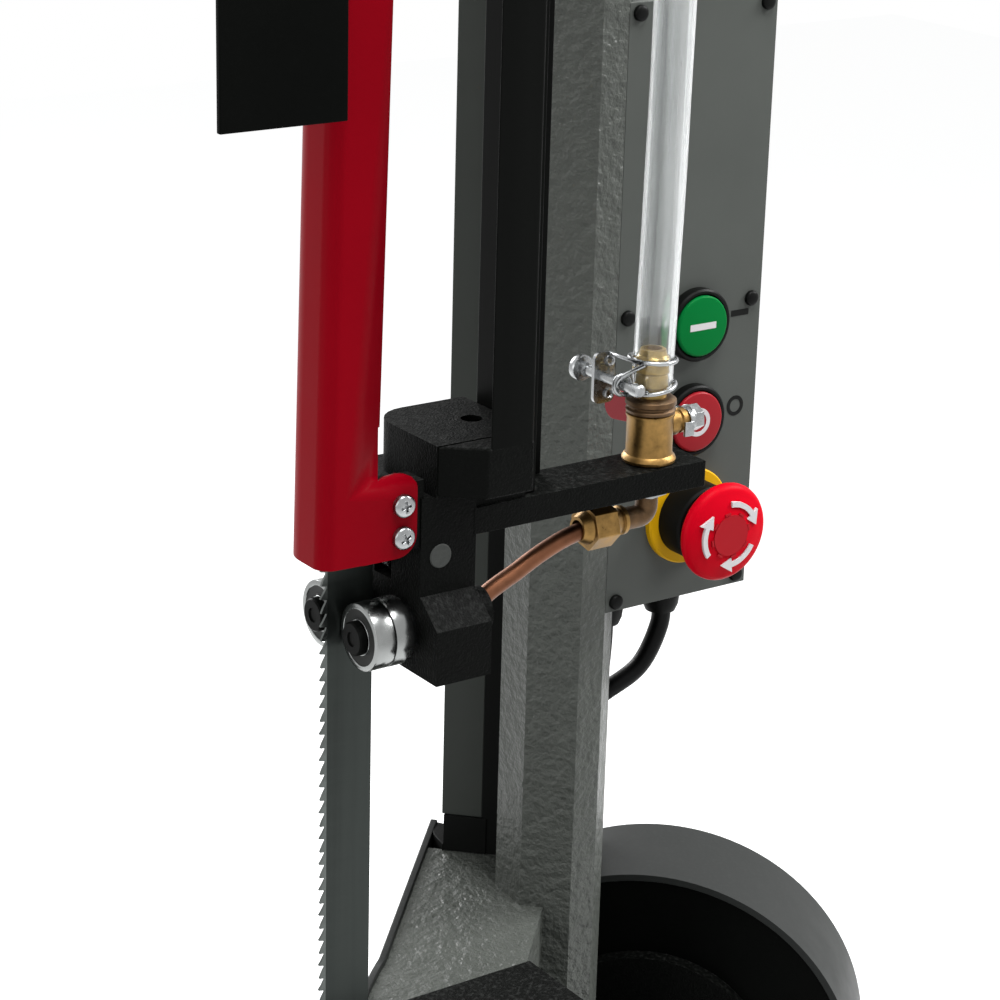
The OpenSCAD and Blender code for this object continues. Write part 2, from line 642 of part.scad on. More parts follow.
module splash_plate() color("#1a1b1a") difference() {
    bow_at() {
        block([-61, -24, splash_z], [-20, -22, high_z - 10]);
        block([-22, -23, high_z - 80], [-20, 7, high_z - 10]);
    }
    wheel_at() at_high() slab(cavity_y0 - 20, cover_y + 20) housing_2d(-eps);
}

// The coolant line: valve on the arm, clear hose up to the bow, elbow and copper pipe below
module coolant_valve() color("#b58f3c") bow_at() translate([valve_x, valve_y, 0]) difference() {
    union() {
        rod_z([0, 0, arm_z1 + eps], 3, 17.4);
        rod_z([0, 0, arm_z1 + 2.9], 15, 15.4);
        rod_z([0, 0, arm_z1 + 17], 3.5, 16.2);
        rod_z([0, 0, arm_z1 + 20], 22, hose_bore - 1.6);
        for (z = [26, 31, 36])
            translate([0, 0, arm_z1 + z]) cylinder(h = 4, d1 = hose_bore - 0.02, d2 = hose_bore - 1.6);
        rod_x([5, 0, arm_z1 + 12], 12, 11);
        rod_z([0, 0, arm_z0 - 3], arm_t + 4, 8.8);
    }
    rod_z([0, 0, arm_z1 + 20], 30, 6);
    rod_x([6, 0, arm_z1 + 12], 12, 6.2);
}
lever_len = 47;
lever_dip = 7;
module valve_lever() color("#b9bcbe") bow_at() translate([valve_x, valve_y, arm_z1 + 12]) {
    rod_x([8, 0, 0], 17, 6);
    rod_x([17.3, 0, 0], 2, 15);
    rod_x([20, 0, 0], 4, 10);
    rotate([-lever_dip, 0, 0]) block([17.3, -5, -4], [19.3, lever_len, 4]);
}
module hose_clamp() color("#c9cbcd") bow_at() translate([valve_x, valve_y, 0]) {
    for (z = [arm_z1 + 27, arm_z1 + 37])
        translate([0, 0, z]) rotate_extrude()
            translate([hose_d / 2 + 1, 0]) circle(d = 1.6, $fn = 16);
    block([-17.5, -7, arm_z1 + 24], [-16, 2, arm_z1 + 40]);
    block([-16.1, -3.5, arm_z1 + 25], [-hose_d / 2 - 0.5, -1.5, arm_z1 + 39]);
    rod_x([-23, -5, arm_z1 + 32], 16, 4);
    rod_x([-25.5, -5, arm_z1 + 32], 3, 7.4);
}
union_z = arm_z1 + hose_rise;
module coolant_hose() color("#c8ccd0") bow_at() translate([valve_x, valve_y, 0]) difference() {
    rod_z([0, 0, arm_z1 + 24.5], hose_rise - 24.5, hose_d);
    rod_z([0, 0, arm_z1 + 24], hose_rise, hose_bore);
}
module hose_union() color("#a98a3f") bow_at() {
    rod_z([valve_x, valve_y, union_z - 20], 30, hose_bore - 0.02);
    rod_z([valve_x, valve_y, union_z + run_gap], 14, 22);
    difference() {
        block([valve_x - 12, valve_y - 12, union_z + 6], [valve_x + 12, 95, union_z + 18]);
        rotate([0, 0, twist]) block([-100, cavity_y0 - idler_wall - eps, union_z], [300, 200, union_z + 30]);
    }
}
module pipe_elbow() color("#a98a3f") bow_at() {
    translate([valve_x, valve_y, 0]) {
        difference() {
            rod_z([0, 0, 15.5], arm_z0 - 15.5, 13);
            rod_z([0, 0, arm_z0 - 4], 5, 9);
        }
        translate([-12, 0, 20.5]) rotate([0, 90, 0]) cylinder(h = 18.5, d = 10);
    }
    difference() {
        union() {
            translate([valve_x - 25, valve_y, 20.5]) rotate([0, 90, 0]) cylinder(h = 13, d = 13.6, $fn = 6);
            translate([valve_x - 28, valve_y, 20.5]) rotate([0, 90, 0]) cylinder(h = 3.1, d1 = 8, d2 = 11.6);
        }
        rod_x([valve_x - 29, valve_y, 20.5], 10, pipe_d);
    }
}
pipe_points = [[valve_x - 19.1, 0, 20.5], [valve_x - 26, 0, 20.5], [76, 0, 19.6], [68, -0.5, 17],
    [60, -1, 12.8], [53.5, -1.6, 5.6], [48.5, -2, 1.6], [block_x1 + 7, -2, 1.5],
    [block_x1 + 4, -2, 1.5], [block_x1 + 1 + eps, -2, 1.5]];
module copper_pipe() color("#b4653a") bow_at() tube(pipe_points, pipe_d, [0, 1, 0]);

// The lower guide, which stays in its place on the lower housing
module fixed_guide_arm() color("#1c1d1c") difference() {
    union() {
        bow_at() block([block_x0, -18, low_thrust_z - 16], [block_x1, 33, low_top]);
        bow_at() block([block_x1 - 1, arm_y0, low_guide_z - 15], [94, 33, low_top]);
        wheel_at() block([58, cavity_y0 - drive_wall - 24, low_guide_z - 100],
            [96, cavity_y0 - drive_wall - eps, low_guide_z]);
    }
    wheel_at() at_low() slab(cavity_y0 - drive_wall - eps, cover_y + 20) housing_2d(-1);
    bow_at() {
        for (y = [0, 2 * band_y])
            rod_x([block_x0 - 1, y, low_guide_z], block_w + 2, pin_d);
        block([block_x0 - 1, band_y - 5, low_thrust_z - 20],
            [block_x1 - 1.5, band_y + 5, low_thrust_z + roller_r + 1]);
        rod_y([thrust_x, -19, low_thrust_z], 54, pin_d);
    }
}
module fixed_rollers_front() color("#b9bcbe") bow_at() translate([0, 0, low_guide_z]) roller_pair();
module fixed_rollers_rear() color("#b9bcbe") bow_at()
    translate([0, 2 * band_y, low_guide_z]) roller_pair();
module fixed_thrust_roller() color("#b9bcbe") bow_at() thrust_bearing(low_thrust_z);
module fixed_pins() color("#2a2b2b") bow_at() {
    pins_at(low_guide_z);
    rod_y([thrust_x, -18.4, low_thrust_z], 51.8, pin_d);
}

// The control box on the spine's side, its panel and its buttons
// Where the spine's side face lies at a given y, which the panel and its box butt against
function side_x(y) = (y * cos(twist) - spine_y0) / sin(twist) + 0.02;
module control_box() color("#4a4d49") bow_at() difference() {
    translate([0, 0, panel_z0]) linear_extrude(panel_h)
        polygon([[side_x(panel_y + 2), panel_y + 2], [panel_x0 + panel_w, panel_y + 2],
            [panel_x0 + panel_w, panel_y + box_depth], [side_x(panel_y + box_depth), panel_y + box_depth]]);
    translate([0, 0, panel_z0 + box_wall]) linear_extrude(panel_h - 2 * box_wall)
        polygon([[side_x(panel_y + 2 + box_wall) + 5, panel_y + 2 + box_wall],
            [panel_x0 + panel_w - box_wall, panel_y + 2 + box_wall],
            [panel_x0 + panel_w - box_wall, panel_y + box_depth - box_wall],
            [side_x(panel_y + box_depth - box_wall) + 5, panel_y + box_depth - box_wall]]);
    for (z = [start_z, stop_z, estop_z])
        rod_y([button_x, panel_y, z], 6, panel_hole);
}
module control_panel() color("#6d6f6c") bow_at() difference() {
    translate([0, 0, panel_z0]) linear_extrude(panel_h)
        polygon([[side_x(panel_y), panel_y], [panel_x0 + panel_w, panel_y],
            [panel_x0 + panel_w, panel_y + 2 - eps], [side_x(panel_y + 2), panel_y + 2 - eps]]);
    for (z = [start_z, stop_z, estop_z])
        rod_y([button_x, panel_y - 1, z], 4, panel_hole);
}
module panel_screws() color("#1d1e1d") bow_at()
    for (x = [panel_x0 + 5, panel_x0 + panel_w - 5]) for (i = [0:2])
        translate([x, panel_y - eps, panel_z0 + 4 + i * (panel_h - 8) / 2]) rotate([90, 0, 0])
            cylinder(h = 2.4, d1 = 6, d2 = 4.5);
module button_bezels() color("#141514") bow_at() {
    for (z = [start_z, stop_z])
        difference() {
            rod_y([button_x, panel_y - 4.5, z], 4.5 - eps, button_d + 4.6);
            rod_y([button_x, panel_y - 5.5, z], 5, button_d + 2 * run_gap);
            rod_y([button_x, panel_y - 5.5, z], 12, 12);
        }
    difference() {
        union() {
            rod_y([button_x, panel_y - 3, estop_z], 3 - eps, 44);
            rod_y([button_x, panel_y - 12, estop_z], 12 - eps, 30);
        }
        rod_y([button_x, panel_y - 13, estop_z], 14, 20.6);
    }
}
module start_button() color("#0f8f3c") bow_at() {
    rod_y([button_x, head_y, start_z], 1.7, button_d);
    rod_y([button_x, panel_y - 4, start_z], 18, 11.4);
}
module stop_button() color("#b0202a") bow_at() {
    rod_y([button_x, head_y, stop_z], 1.7, button_d);
    rod_y([button_x, panel_y - 4, stop_z], 18, 11.4);
}
module estop_head() color("#d4121f") bow_at() {
    rod_y([button_x, panel_y - 28, estop_z], 3, estop_d - 8);
    rod_y([button_x, panel_y - 26, estop_z], 9.5, estop_d);
    rod_y([button_x, panel_y - 17, estop_z], 29, 20);
}

// Two short leads from the box, one into the spine and one to the motor's terminal box
cable_d = 8;
gland_xs = [206, 240];
gland_z = panel_z0 - 16;
gland_y = panel_y + 35;
entry = [terminal_u * cos(twist) - terminal_y * sin(twist),
    terminal_u * sin(twist) + terminal_y * cos(twist), terminal_z + 8];
cable_spine = [[gland_xs[0], gland_y, gland_z], [gland_xs[0], gland_y, gland_z - 12],
    [gland_xs[0] + 2, gland_y, gland_z - 26], [gland_xs[0] + 2, gland_y, gland_z - 38],
    [gland_xs[0] - 1, gland_y, gland_z - 47], [199.8, gland_y, gland_z - 51]];
cable_motor = [[gland_xs[1], gland_y, gland_z], [gland_xs[1], gland_y, gland_z - 12],
    [231, 150.5, -114], [216, 154, -124], [211, 167, -137], [213, 185, -152], [219, 200, -166],
    entry + [-2, -2, 16], entry + [0, 0, 8], entry];
bevel_x = (spine_u1 - spine_bevel - spine_y0) / sqrt(2) + 0.02;
module motor_cables() color("#141514") {
    wheel_at() rod_z([terminal_u, terminal_y, terminal_z + eps], 8 - eps, 14);
    bow_at() difference() {
        union() {
            for (x = gland_xs) {
                rod_z([x, gland_y, gland_z], panel_z0 - gland_z - eps, 16);
                rod_z([x, gland_y, gland_z + 4], 4, 20);
            }
            tube(cable_spine, cable_d, [0, 1, 0]);
            tube(cable_motor, cable_d, [0.5, -0.5, 0.1]);
        }
        block([bevel_x - 40, gland_y - 30, gland_z - 80], [bevel_x, gland_y + 14, panel_z0 + 1]);
    }
}
module bow_handle() color("#202120") wheel_at() {
    z = high_z + 40;
    u0 = wheel_u - 118;
    y0 = cavity_y0 - idler_wall;
    rod_y([u0, y0 - 60, z], 60 - eps, 16);
    rod_y([u0 + 60, y0 - 60, z + 30], 60 - eps, 16);
    translate([u0, y0 - 60, z]) rotate([0, 63.435, 0]) translate([0, 0, -30])
        cylinder(h = 127, d = 28);
}

// The swivelling arm with its ears, and the shaft that the bow turns on
ear_t = 18;
module swivel_arm() color("#3d3f3d") difference() {
    union() {
        mitre_at() rod_z([0, 0, swivel_z], swivel_t, 270);
        block([mitre_x, mitre_y - 6, swivel_z], [pivot_x + 45, bow_y + pivot_by + lug_len / 2 + 24,
            swivel_z + swivel_t]);
        for (s = [-1, 1])
            translate([pivot_x, bow_y + pivot_by + s * (lug_len / 2 + 2 + ear_t / 2), 0]) {
                block([-36, -ear_t / 2, swivel_z + 1], [36, ear_t / 2, pivot_top]);
                rod_y([0, -ear_t / 2, pivot_top], ear_t, 72);
            }
    }
    mitre_at() rod_z([0, 0, swivel_z - 1], swivel_t + 2, 116 + 2 * run_gap);
    rod_y([pivot_x, bow_y + pivot_by - lug_len, pivot_top], 2 * lug_len, pivot_d);
}
module pivot_shaft() color("#9a9c9e") {
    len = lug_len + 2 * (ear_t + 2) + 8;
    rod_y([pivot_x, bow_y + pivot_by - len / 2, pivot_top], len, pivot_d - 0.02);
    for (s = [-1, 1])
        translate([pivot_x, bow_y + pivot_by + s * (len / 2), pivot_top]) rotate([90, 0, 0])
            cylinder(h = 6, d = pivot_d + 16, center = true, $fn = 6);
}

// The base casting with its pedestal, and the table on it
pedestal_d = 116;
ring_d = 270;
plinth_h = base_h - 20;
module base_casting() color("#3a3c3a") {
    l = stand_l / 2 - 30;
    w = stand_w / 2 - 20;
    top = base_z + base_h;
    difference() {
        block([-l, -w, base_z], [l, w, base_z + plinth_h]);
        block([-l + 10, -w + 10, base_z - 1], [l - 10, w - 10, base_z + plinth_h - 10]);
    }
    mitre_at() {
        rod_z([0, 0, base_z + plinth_h - 1], top - base_z - plinth_h + 1, ring_d + 10);
        rod_z([0, 0, top - 1], table_z - table_t - top + 1, pedestal_d);
        // leg under the rail's left end
        block([-ring_d / 2 - 60, -140, base_z + plinth_h - 1], [-ring_d / 2 - 15, -60, table_z - table_t - eps]);
    }
}
module table_top() color("#55575a") mitre_at() difference() {
    translate([0, 0, table_z - table_t]) linear_extrude(table_t) union() {
        circle(58);
        intersection() {
            circle(105, $fn = 128);
            translate([-105, -20]) square([105, 125]);
        }
        polygon([[-rail_len, -150], [-rail_len, -36], [jaw_t, -36], [jaw_t, -150]]);
    }
    // the band's slot, opened to the mitre's range
    translate([0, 0, table_z - 8]) linear_extrude(9) union() {
        polygon([[0, -4], [0, 6], [-46, 62], [-104, 130], [-130, -4]]);
        polygon([[0, 4], [0, -4], [40, -64], [70, -70], [80, 4]]);
    }
}
module work_table() {
    table_top();
    // fixed jaw, chamfered away from the band, and the nut that the vise screw runs in
    color("#55575a") mitre_at() difference() {
        union() {
            translate([0, 0, table_z - 1]) linear_extrude(jaw_h + 1)
                polygon([[0, jaw_y1], [0, jaw_y0], [jaw_t, jaw_y0], [jaw_t, jaw_y1 - jaw_t]]);
            block([-rail_len, screw_py - 24, table_z - 1], [-rail_len + 32, screw_py + 24, screw_pz + 22]);
        }
        rod_x([-rail_len - 1, screw_py, screw_pz], 40, vise_screw_d + 2 * run_gap);
    }
}
jaw_t = 17;
jaw_y1 = -44;
jaw_y0 = jaw_y1 - jaw_len;
vise_screw_d = 18;
screw_py = jaw_y1 - jaw_len / 2;
screw_pz = table_z + 24;
nose_len = 30;
module moving_jaw() color("#55575a") mitre_at() {
    x1 = -vise_open;
    difference() {
        union() {
            block([x1 - 14, jaw_y0, table_z + run_gap], [x1, jaw_y1, table_z + jaw_h]);
            block([x1 - 60, jaw_y0 + 15, table_z + run_gap], [x1 - 13, jaw_y1 - 15, screw_pz + 18]);
        }
        rod_x([x1 - 61, screw_py, screw_pz], nose_len + 1, vise_screw_d + 2 * fit);
    }
}
wheel_ring_r = 32;
module vise_screw() color("#8b8d8f") mitre_at() {
    x1 = -vise_open - 60 + nose_len - 1;
    x0 = x1 - 262;
    rod_x([x0, screw_py, screw_pz], x1 - x0, vise_screw_d);
    rod_x([x0, screw_py, screw_pz], 18, 30);
    translate([x0 + 9, screw_py, screw_pz]) rotate([0, 90, 0]) {
        rotate_extrude() translate([wheel_ring_r, 0]) circle(d = 10, $fn = 24);
        for (a = [0:120:240])
            rotate([0, 0, a]) translate([0, -4, -4]) cube([wheel_ring_r, 8, 8]);
    }
    rod_x([x0 - 42, screw_py, screw_pz + wheel_ring_r], 50, 9);
    rod_x([x0 - 42, screw_py, screw_pz + wheel_ring_r], 34, 18);
}

// Sheet steel stand with its chip tray, and the coolant tank and pump inside
module stand() color("#262726") {
    l = stand_l / 2;
    w = stand_w / 2;
    difference() {
        block([-l, -w, foot_h], [l, w, tray_z]);
        block([-l + sheet_t, -w + sheet_t, foot_h + sheet_t], [l - sheet_t, w - sheet_t, tray_z - sheet_t]);
        block([-l + 60, -w - 1, foot_h + 40], [l - 60, -w + 10, tray_z - 60]);
    }
    difference() {
        block([-l - 30, -w - 30, tray_z], [l + 30, w + 30, tray_z + 33]);
        block([-l - 30 + sheet_t, -w - 30 + sheet_t, tray_z + 3], [l + 30 - sheet_t, w + 30 - sheet_t, tray_z + 40]);
    }
    for (x = [-1, 1]) for (y = [-1, 1]) difference() {
        union() {
            translate([x * l, y * w, 4]) cube([80, 80, 8], center = true);
            translate([x * (l - 20), y * (w - 20), foot_h / 2 + 2]) cube([40, 40, foot_h - 4], center = true);
        }
        rod_z([x * (l + 22), y * (w + 22), -1], 12, 12);
    }
}
module coolant_unit() color("#303331") {
    z = foot_h + sheet_t + eps;
    block([-140, -100, z], [140, 120, z + 160]);
    rod_z([60, 20, z + 160 - eps], 110, 90);
    rod_z([60, 20, z + 269], 21, 70);
    rod_z([-60, 10, z + 160 - eps], 20, 60);
}

bow_frame();
band_cover();
band_seals();
lower_wheel_cover();
upper_wheel_cover();
saw_band();
drive_wheel();
drive_shaft();
gearbox();
worm_wheel();
worm_shaft();
motor_adapter();
motor();
fan_cover();
idler_wheel();
idler_bearings();
tension_carriage();
tension_rails();
tension_screw();
guide_bar();
guide_block();
coolant_arm();
front_rollers();
rear_rollers();
thrust_roller();
roller_pins();
band_guard();
guard_screws();
guide_bracket();
clamp_lever();
splash_plate();
coolant_valve();
valve_lever();
hose_clamp();
coolant_hose();
hose_union();
pipe_elbow();
copper_pipe();
fixed_guide_arm();
fixed_rollers_front();
fixed_rollers_rear();
fixed_thrust_roller();
fixed_pins();
control_box();
control_panel();
panel_screws();
start_button();
stop_button();
button_bezels();
estop_head();
motor_cables();
bow_handle();
swivel_arm();
pivot_shaft();
base_casting();
work_table();
moving_jaw();
vise_screw();
stand();
coolant_unit();
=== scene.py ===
# Mitre band saw for metal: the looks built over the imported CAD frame.
# The camera looks closely at the upper blade guide, the bow's spine and the control panel.
import json
import math

import bmesh
import bpy
import numpy as np
from mathutils import Matrix, Vector


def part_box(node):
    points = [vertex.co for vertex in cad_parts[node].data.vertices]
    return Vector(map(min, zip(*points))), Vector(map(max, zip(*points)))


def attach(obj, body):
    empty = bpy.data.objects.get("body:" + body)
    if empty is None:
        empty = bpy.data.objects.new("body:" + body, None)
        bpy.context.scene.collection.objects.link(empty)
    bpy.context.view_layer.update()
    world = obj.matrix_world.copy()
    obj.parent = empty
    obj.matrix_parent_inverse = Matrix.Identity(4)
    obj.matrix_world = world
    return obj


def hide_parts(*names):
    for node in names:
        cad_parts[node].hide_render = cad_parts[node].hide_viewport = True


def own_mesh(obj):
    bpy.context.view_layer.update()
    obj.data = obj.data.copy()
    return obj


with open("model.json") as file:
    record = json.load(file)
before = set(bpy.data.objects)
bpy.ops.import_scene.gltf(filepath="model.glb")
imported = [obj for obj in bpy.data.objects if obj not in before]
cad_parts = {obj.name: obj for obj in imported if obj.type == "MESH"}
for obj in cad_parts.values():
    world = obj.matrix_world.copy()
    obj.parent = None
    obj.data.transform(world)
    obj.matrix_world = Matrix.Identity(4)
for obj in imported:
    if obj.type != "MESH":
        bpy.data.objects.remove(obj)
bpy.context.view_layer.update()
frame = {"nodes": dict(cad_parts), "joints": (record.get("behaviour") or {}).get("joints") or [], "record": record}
nodeBody = {node: body for body, nodes in frame["record"]["behaviour"]["bodies"].items() for node in nodes}
jointAt = {j["name"]: np.array(j["pos_m"]) for j in frame["joints"] if "pos_m" in j}
mm = 0.001
print("frame loaded:", len(frame["nodes"]), "CAD nodes")

# Places, in millimetres from the upper front guide roller, as the CAD source has them
bowOrigin = jointAt["front_roller_spin"]
# from x along the wheels' plane and y along their axles to bow directions
turn45 = math.radians(45)
wheelTurn = np.array([[math.cos(turn45), -math.sin(turn45), 0], [math.sin(turn45), math.cos(turn45), 0], [0, 0, 1]])


def bowPlace(points):  # bow millimetres to metres in the row frame
    return np.asarray(points, float) * mm + bowOrigin


def nodeSpan(node):  # lowest and highest corner of a CAD node, in bow millimetres
    low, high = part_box(node)
    return (np.array(low) - bowOrigin) / mm, (np.array(high) - bowOrigin) / mm


# Materials
def srgb(hexColor):
    values = [int(hexColor[i:i + 2], 16) / 255 for i in (1, 3, 5)]
    return [v / 12.92 if v <= 0.04045 else ((v + 0.055) / 1.055) ** 2.4 for v in values] + [1.0]


def addNode(tree, kind, inputs=None, **settings):
    node = tree.nodes.new(kind)
    for key, value in settings.items():
        setattr(node, key, value)
    for key, value in (inputs or {}).items():
        if isinstance(value, bpy.types.NodeSocket):
            tree.links.new(value, node.inputs[key])
        else:
            node.inputs[key].default_value = value
    return node


def surfaceMaterial(name, color, rough, metallic=0.0, grain=0.0, grainHeight=0.0,
                    mottle=0.06, mottleSize=40.0, roughVary=0.08, spots=0.0, spotSize=3.0, spotHeight=0.0,
                    stretch=(1, 1, 1), dustAndTopLightTone="#8a8d88", dustAndTopLight=0.0, specular=0.5, ior=1.5, highlightStreaks=None):
    # grain, mottleSize, spotSize and the highlightStreaks' third value are real sizes in millimetres; their fourth is
    # the height in metres below which the tube is wet and clear
    material = bpy.data.materials.new(name)
    material.use_nodes = True
    tree = material.node_tree
    shader = tree.nodes["Principled BSDF"]
    where = addNode(tree, "ShaderNodeTexCoord").outputs["Object"]
    mapped = addNode(tree, "ShaderNodeMapping", {"Vector": where, "Scale": stretch}).outputs["Vector"]
    broad = addNode(tree, "ShaderNodeTexNoise", {"Vector": mapped, "Scale": 1000 / mottleSize, "Detail": 4.0,
            "Roughness": 0.6}).outputs["Fac"]
    light = addNode(tree, "ShaderNodeMapRange", {"Value": broad, "From Min": 0.3, "From Max": 0.7,
            "To Min": 1 - mottle, "To Max": 1 + mottle}).outputs["Result"]
    tone = addNode(tree, "ShaderNodeHueSaturation", {"Color": srgb(color), "Value": light}).outputs["Color"]
    if dustAndTopLight:
        # dry dust and splashes lie on faces that look up; the same mask is painted light, making faces that look up
        # lighter than the sides
        normal = addNode(tree, "ShaderNodeNewGeometry").outputs["Normal"]
        upward = addNode(tree, "ShaderNodeSeparateXYZ", {"Vector": normal}).outputs["Z"]
        upwardDustAndLight = addNode(tree, "ShaderNodeMapRange", {"Value": upward, "From Min": 0.15, "From Max": 1.0,
                "To Min": 0.04, "To Max": 1.0}).outputs["Result"]
        specks = addNode(tree, "ShaderNodeTexNoise", {"Vector": where, "Scale": 600.0, "Detail": 5.0}).outputs["Fac"]
        kept = addNode(tree, "ShaderNodeMapRange", {"Value": specks, "From Min": 0.5, "From Max": 0.72,
                "To Min": 0.0, "To Max": dustAndTopLight}).outputs["Result"]
        dustAndTopLightShare = addNode(tree, "ShaderNodeMath", {0: upwardDustAndLight, 1: kept}, operation="MULTIPLY").outputs["Value"]
        tone = addNode(tree, "ShaderNodeMix", {"Factor": dustAndTopLightShare, "A": tone, "B": srgb(dustAndTopLightTone)},
                       data_type="RGBA").outputs["Result"]
    tree.links.new(tone, shader.inputs["Base Color"])
    varied = addNode(tree, "ShaderNodeMapRange", {"Value": broad, "From Min": 0.3, "From Max": 0.7,
            "To Min": max(0.02, rough - roughVary),
            "To Max": min(1, rough + roughVary)}).outputs["Result"]
    tree.links.new(varied, shader.inputs["Roughness"])
    normal = None
    if grainHeight:
        fine = addNode(tree, "ShaderNodeTexNoise", {"Vector": mapped, "Scale": 1000 / grain,
                "Detail": 3.0}).outputs["Fac"]
        normal = addNode(tree, "ShaderNodeBump", {"Height": fine, "Distance": grainHeight * mm,
                "Strength": 1.0}).outputs["Normal"]
    if spots:
        cells = addNode(tree, "ShaderNodeTexVoronoi", {"Vector": where, "Scale": 1000 / spotSize},
                        feature="SMOOTH_F1").outputs["Distance"]
        dimple = {"Height": cells, "Distance": spotHeight * mm, "Strength": spots}
        if normal:
            dimple["Normal"] = normal
        normal = addNode(tree, "ShaderNodeBump", dimple).outputs["Normal"]
    if normal:
        tree.links.new(normal, shader.inputs["Normal"])
    for key, value in {"Metallic": metallic, "IOR": ior, "Specular IOR Level": specular}.items():
        shader.inputs[key].default_value = value
    if highlightStreaks:
        # clearness changes round the tube and hardly along it; its whiter stripes are painted highlights
        low, high, size, wetZ = highlightStreaks
        drawn = addNode(tree, "ShaderNodeMapping", {"Vector": where, "Scale": (1, 1, 0.03)}).outputs["Vector"]
        highlightStripes = addNode(tree, "ShaderNodeTexNoise", {"Vector": drawn, "Scale": 1000 / size,
                "Detail": 3.0}).outputs["Fac"]
        clear = addNode(tree, "ShaderNodeMapRange", {"Value": highlightStripes, "From Min": 0.35, "From Max": 0.6, "To Min": low,
                "To Max": high}).outputs["Result"]
        height = addNode(tree, "ShaderNodeSeparateXYZ", {"Vector": where}).outputs["Z"]
        wet = addNode(tree, "ShaderNodeMapRange", {"Value": height, "From Min": wetZ + 0.012, "From Max": wetZ,
                "To Min": 0.0, "To Max": 0.97}).outputs["Result"]
        clear = addNode(tree, "ShaderNodeMath", {0: clear, 1: wet}, operation="MAXIMUM").outputs["Value"]
        tree.links.new(clear, shader.inputs["Transmission Weight"])
    return material


# alkyd paint sprayed over sand cast iron: pebbled by the hammer effect, a soft broken sheen
hammeredPaint = surfaceMaterial("hammeredPaintCastIron", "#494c48", 0.36, grain=2.4, grainHeight=1.2, spots=0.7,
    spotSize=4.8, spotHeight=1.15, mottle=0.07, mottleSize=7, specular=0.26,
    dustAndTopLight=0.05)
# powder coat on rolled sheet steel: even, with a faint orange peel
smoothPaint = surfaceMaterial("powderCoatSheetGrey", "#4a4d4a", 0.42, grain=1.6, grainHeight=0.02, mottle=0.04,
    specular=0.16, dustAndTopLight=0.05)
# the cover on the band's run has the same coat, painted darker for the shade it sits in, set back behind the spine
shadedCoverPaint = surfaceMaterial("powderCoatCover", "#393c39", 0.44, grain=1.6, grainHeight=0.02, mottle=0.05,
    specular=0.12, dustAndTopLight=0.04)
# baked enamel on the spun drum: the smoothest paint here, so light falls off it evenly
drumPaint = surfaceMaterial("bakedEnamelDrum", "#272928", 0.38, grain=2.5, grainHeight=0.01, mottle=0.04, specular=0.12,
    dustAndTopLight=0.02)
# powder coat on the welded box behind the panel: darker and a little rougher
boxPaint = surfaceMaterial("powderCoatBox", "#3b3e3b", 0.46, grain=1.4, grainHeight=0.03, mottle=0.04, specular=0.2,
    dustAndTopLight=0.05)
# textured epoxy on the small castings: black with a sandy grit that scatters highlights
# its grey dust on faces that look up is painted light too: the tops are made much lighter than the sides
sandyBlack = surfaceMaterial("texturedEpoxyCastIron", "#060706", 0.5, grain=0.75, grainHeight=0.35, mottle=0.25,
    mottleSize=2.5, specular=0.04, dustAndTopLight=0.15, dustAndTopLightTone="#5c5e5c")
# black powder coat on folded sheet: satin
satinBlack = surfaceMaterial("powderCoatSheetBlack", "#050605", 0.42, grain=1.2, grainHeight=0.02, mottle=0.05,
    specular=0.03, dustAndTopLight=0.03)
# the same black coat on the big pressed covers and the stand, given a lighter colour: painted light, so their forms
# show where little light reaches them
litCoverBlack = surfaceMaterial("powderCoatCoverBlack", "#191b1a", 0.4, grain=1.6, grainHeight=0.03, mottle=0.06,
    specular=0.22, dustAndTopLight=0.04)
litStandPaint = surfaceMaterial("powderCoatStand", "#262928", 0.42, grain=1.6, grainHeight=0.03, mottle=0.06,
    specular=0.22, dustAndTopLight=0.06)
# oil blackened flat bar: dark metal with faint long draw lines
blackenedSteel = surfaceMaterial("oilBlackenedBar", "#0a0b0a", 0.4, grain=0.7, grainHeight=0.02, stretch=(1, 1, 0.04),
    mottle=0.2, specular=0.03, dustAndTopLight=0.02)
# ground and polished bearing rings: bright, with very fine turning
bearingSteel = surfaceMaterial("groundBearingSteel", "#8b8d8c", 0.22, metallic=1.0, grain=0.25, grainHeight=0.003,
    mottle=0.1, mottleSize=9)
# nitrile bearing seal: dull grey black
sealRubber = surfaceMaterial("mouldedNitrileSeal", "#2c2d2c", 0.55, mottle=0.1, specular=0.15)
# cold rolled band steel: blue grey, with scratches along its run and oil
bandSteel = surfaceMaterial("coldRolledBandSteel", "#303432", 0.36, metallic=0.85, grain=0.5, grainHeight=0.01,
    stretch=(1, 1, 0.03), mottle=0.3, mottleSize=14)
# milled and set teeth: freshly cut, so brighter than the band
toothSteel = surfaceMaterial("milledToothSteel", "#5b5f5d", 0.32, metallic=1.0, mottle=0.2, mottleSize=6)
# turned grey iron wheels: dull silver with tool marks
turnedIron = surfaceMaterial("turnedGreyIron", "#7c7e7c", 0.42, metallic=0.9, grain=0.6, grainHeight=0.01, mottle=0.1)
# ground grey iron table and jaws: matt silver grey, with stains
groundIron = surfaceMaterial("groundGreyIron", "#75787a", 0.42, metallic=0.8, grain=0.5, grainHeight=0.008,
    stretch=(0.06, 1, 1), mottle=0.16, mottleSize=60, roughVary=0.12)
# turned and polished shafts
turnedSteel = surfaceMaterial("turnedShaftSteel", "#9a9c9d", 0.28, metallic=1.0, mottle=0.06, mottleSize=20)
# sawn bar end, left bare: flat grey with fine pits
sawnSteel = surfaceMaterial("sawnBarEnd", "#3f413f", 0.6, grain=0.5, grainHeight=0.05, mottle=0.15, mottleSize=2,
    specular=0.15)
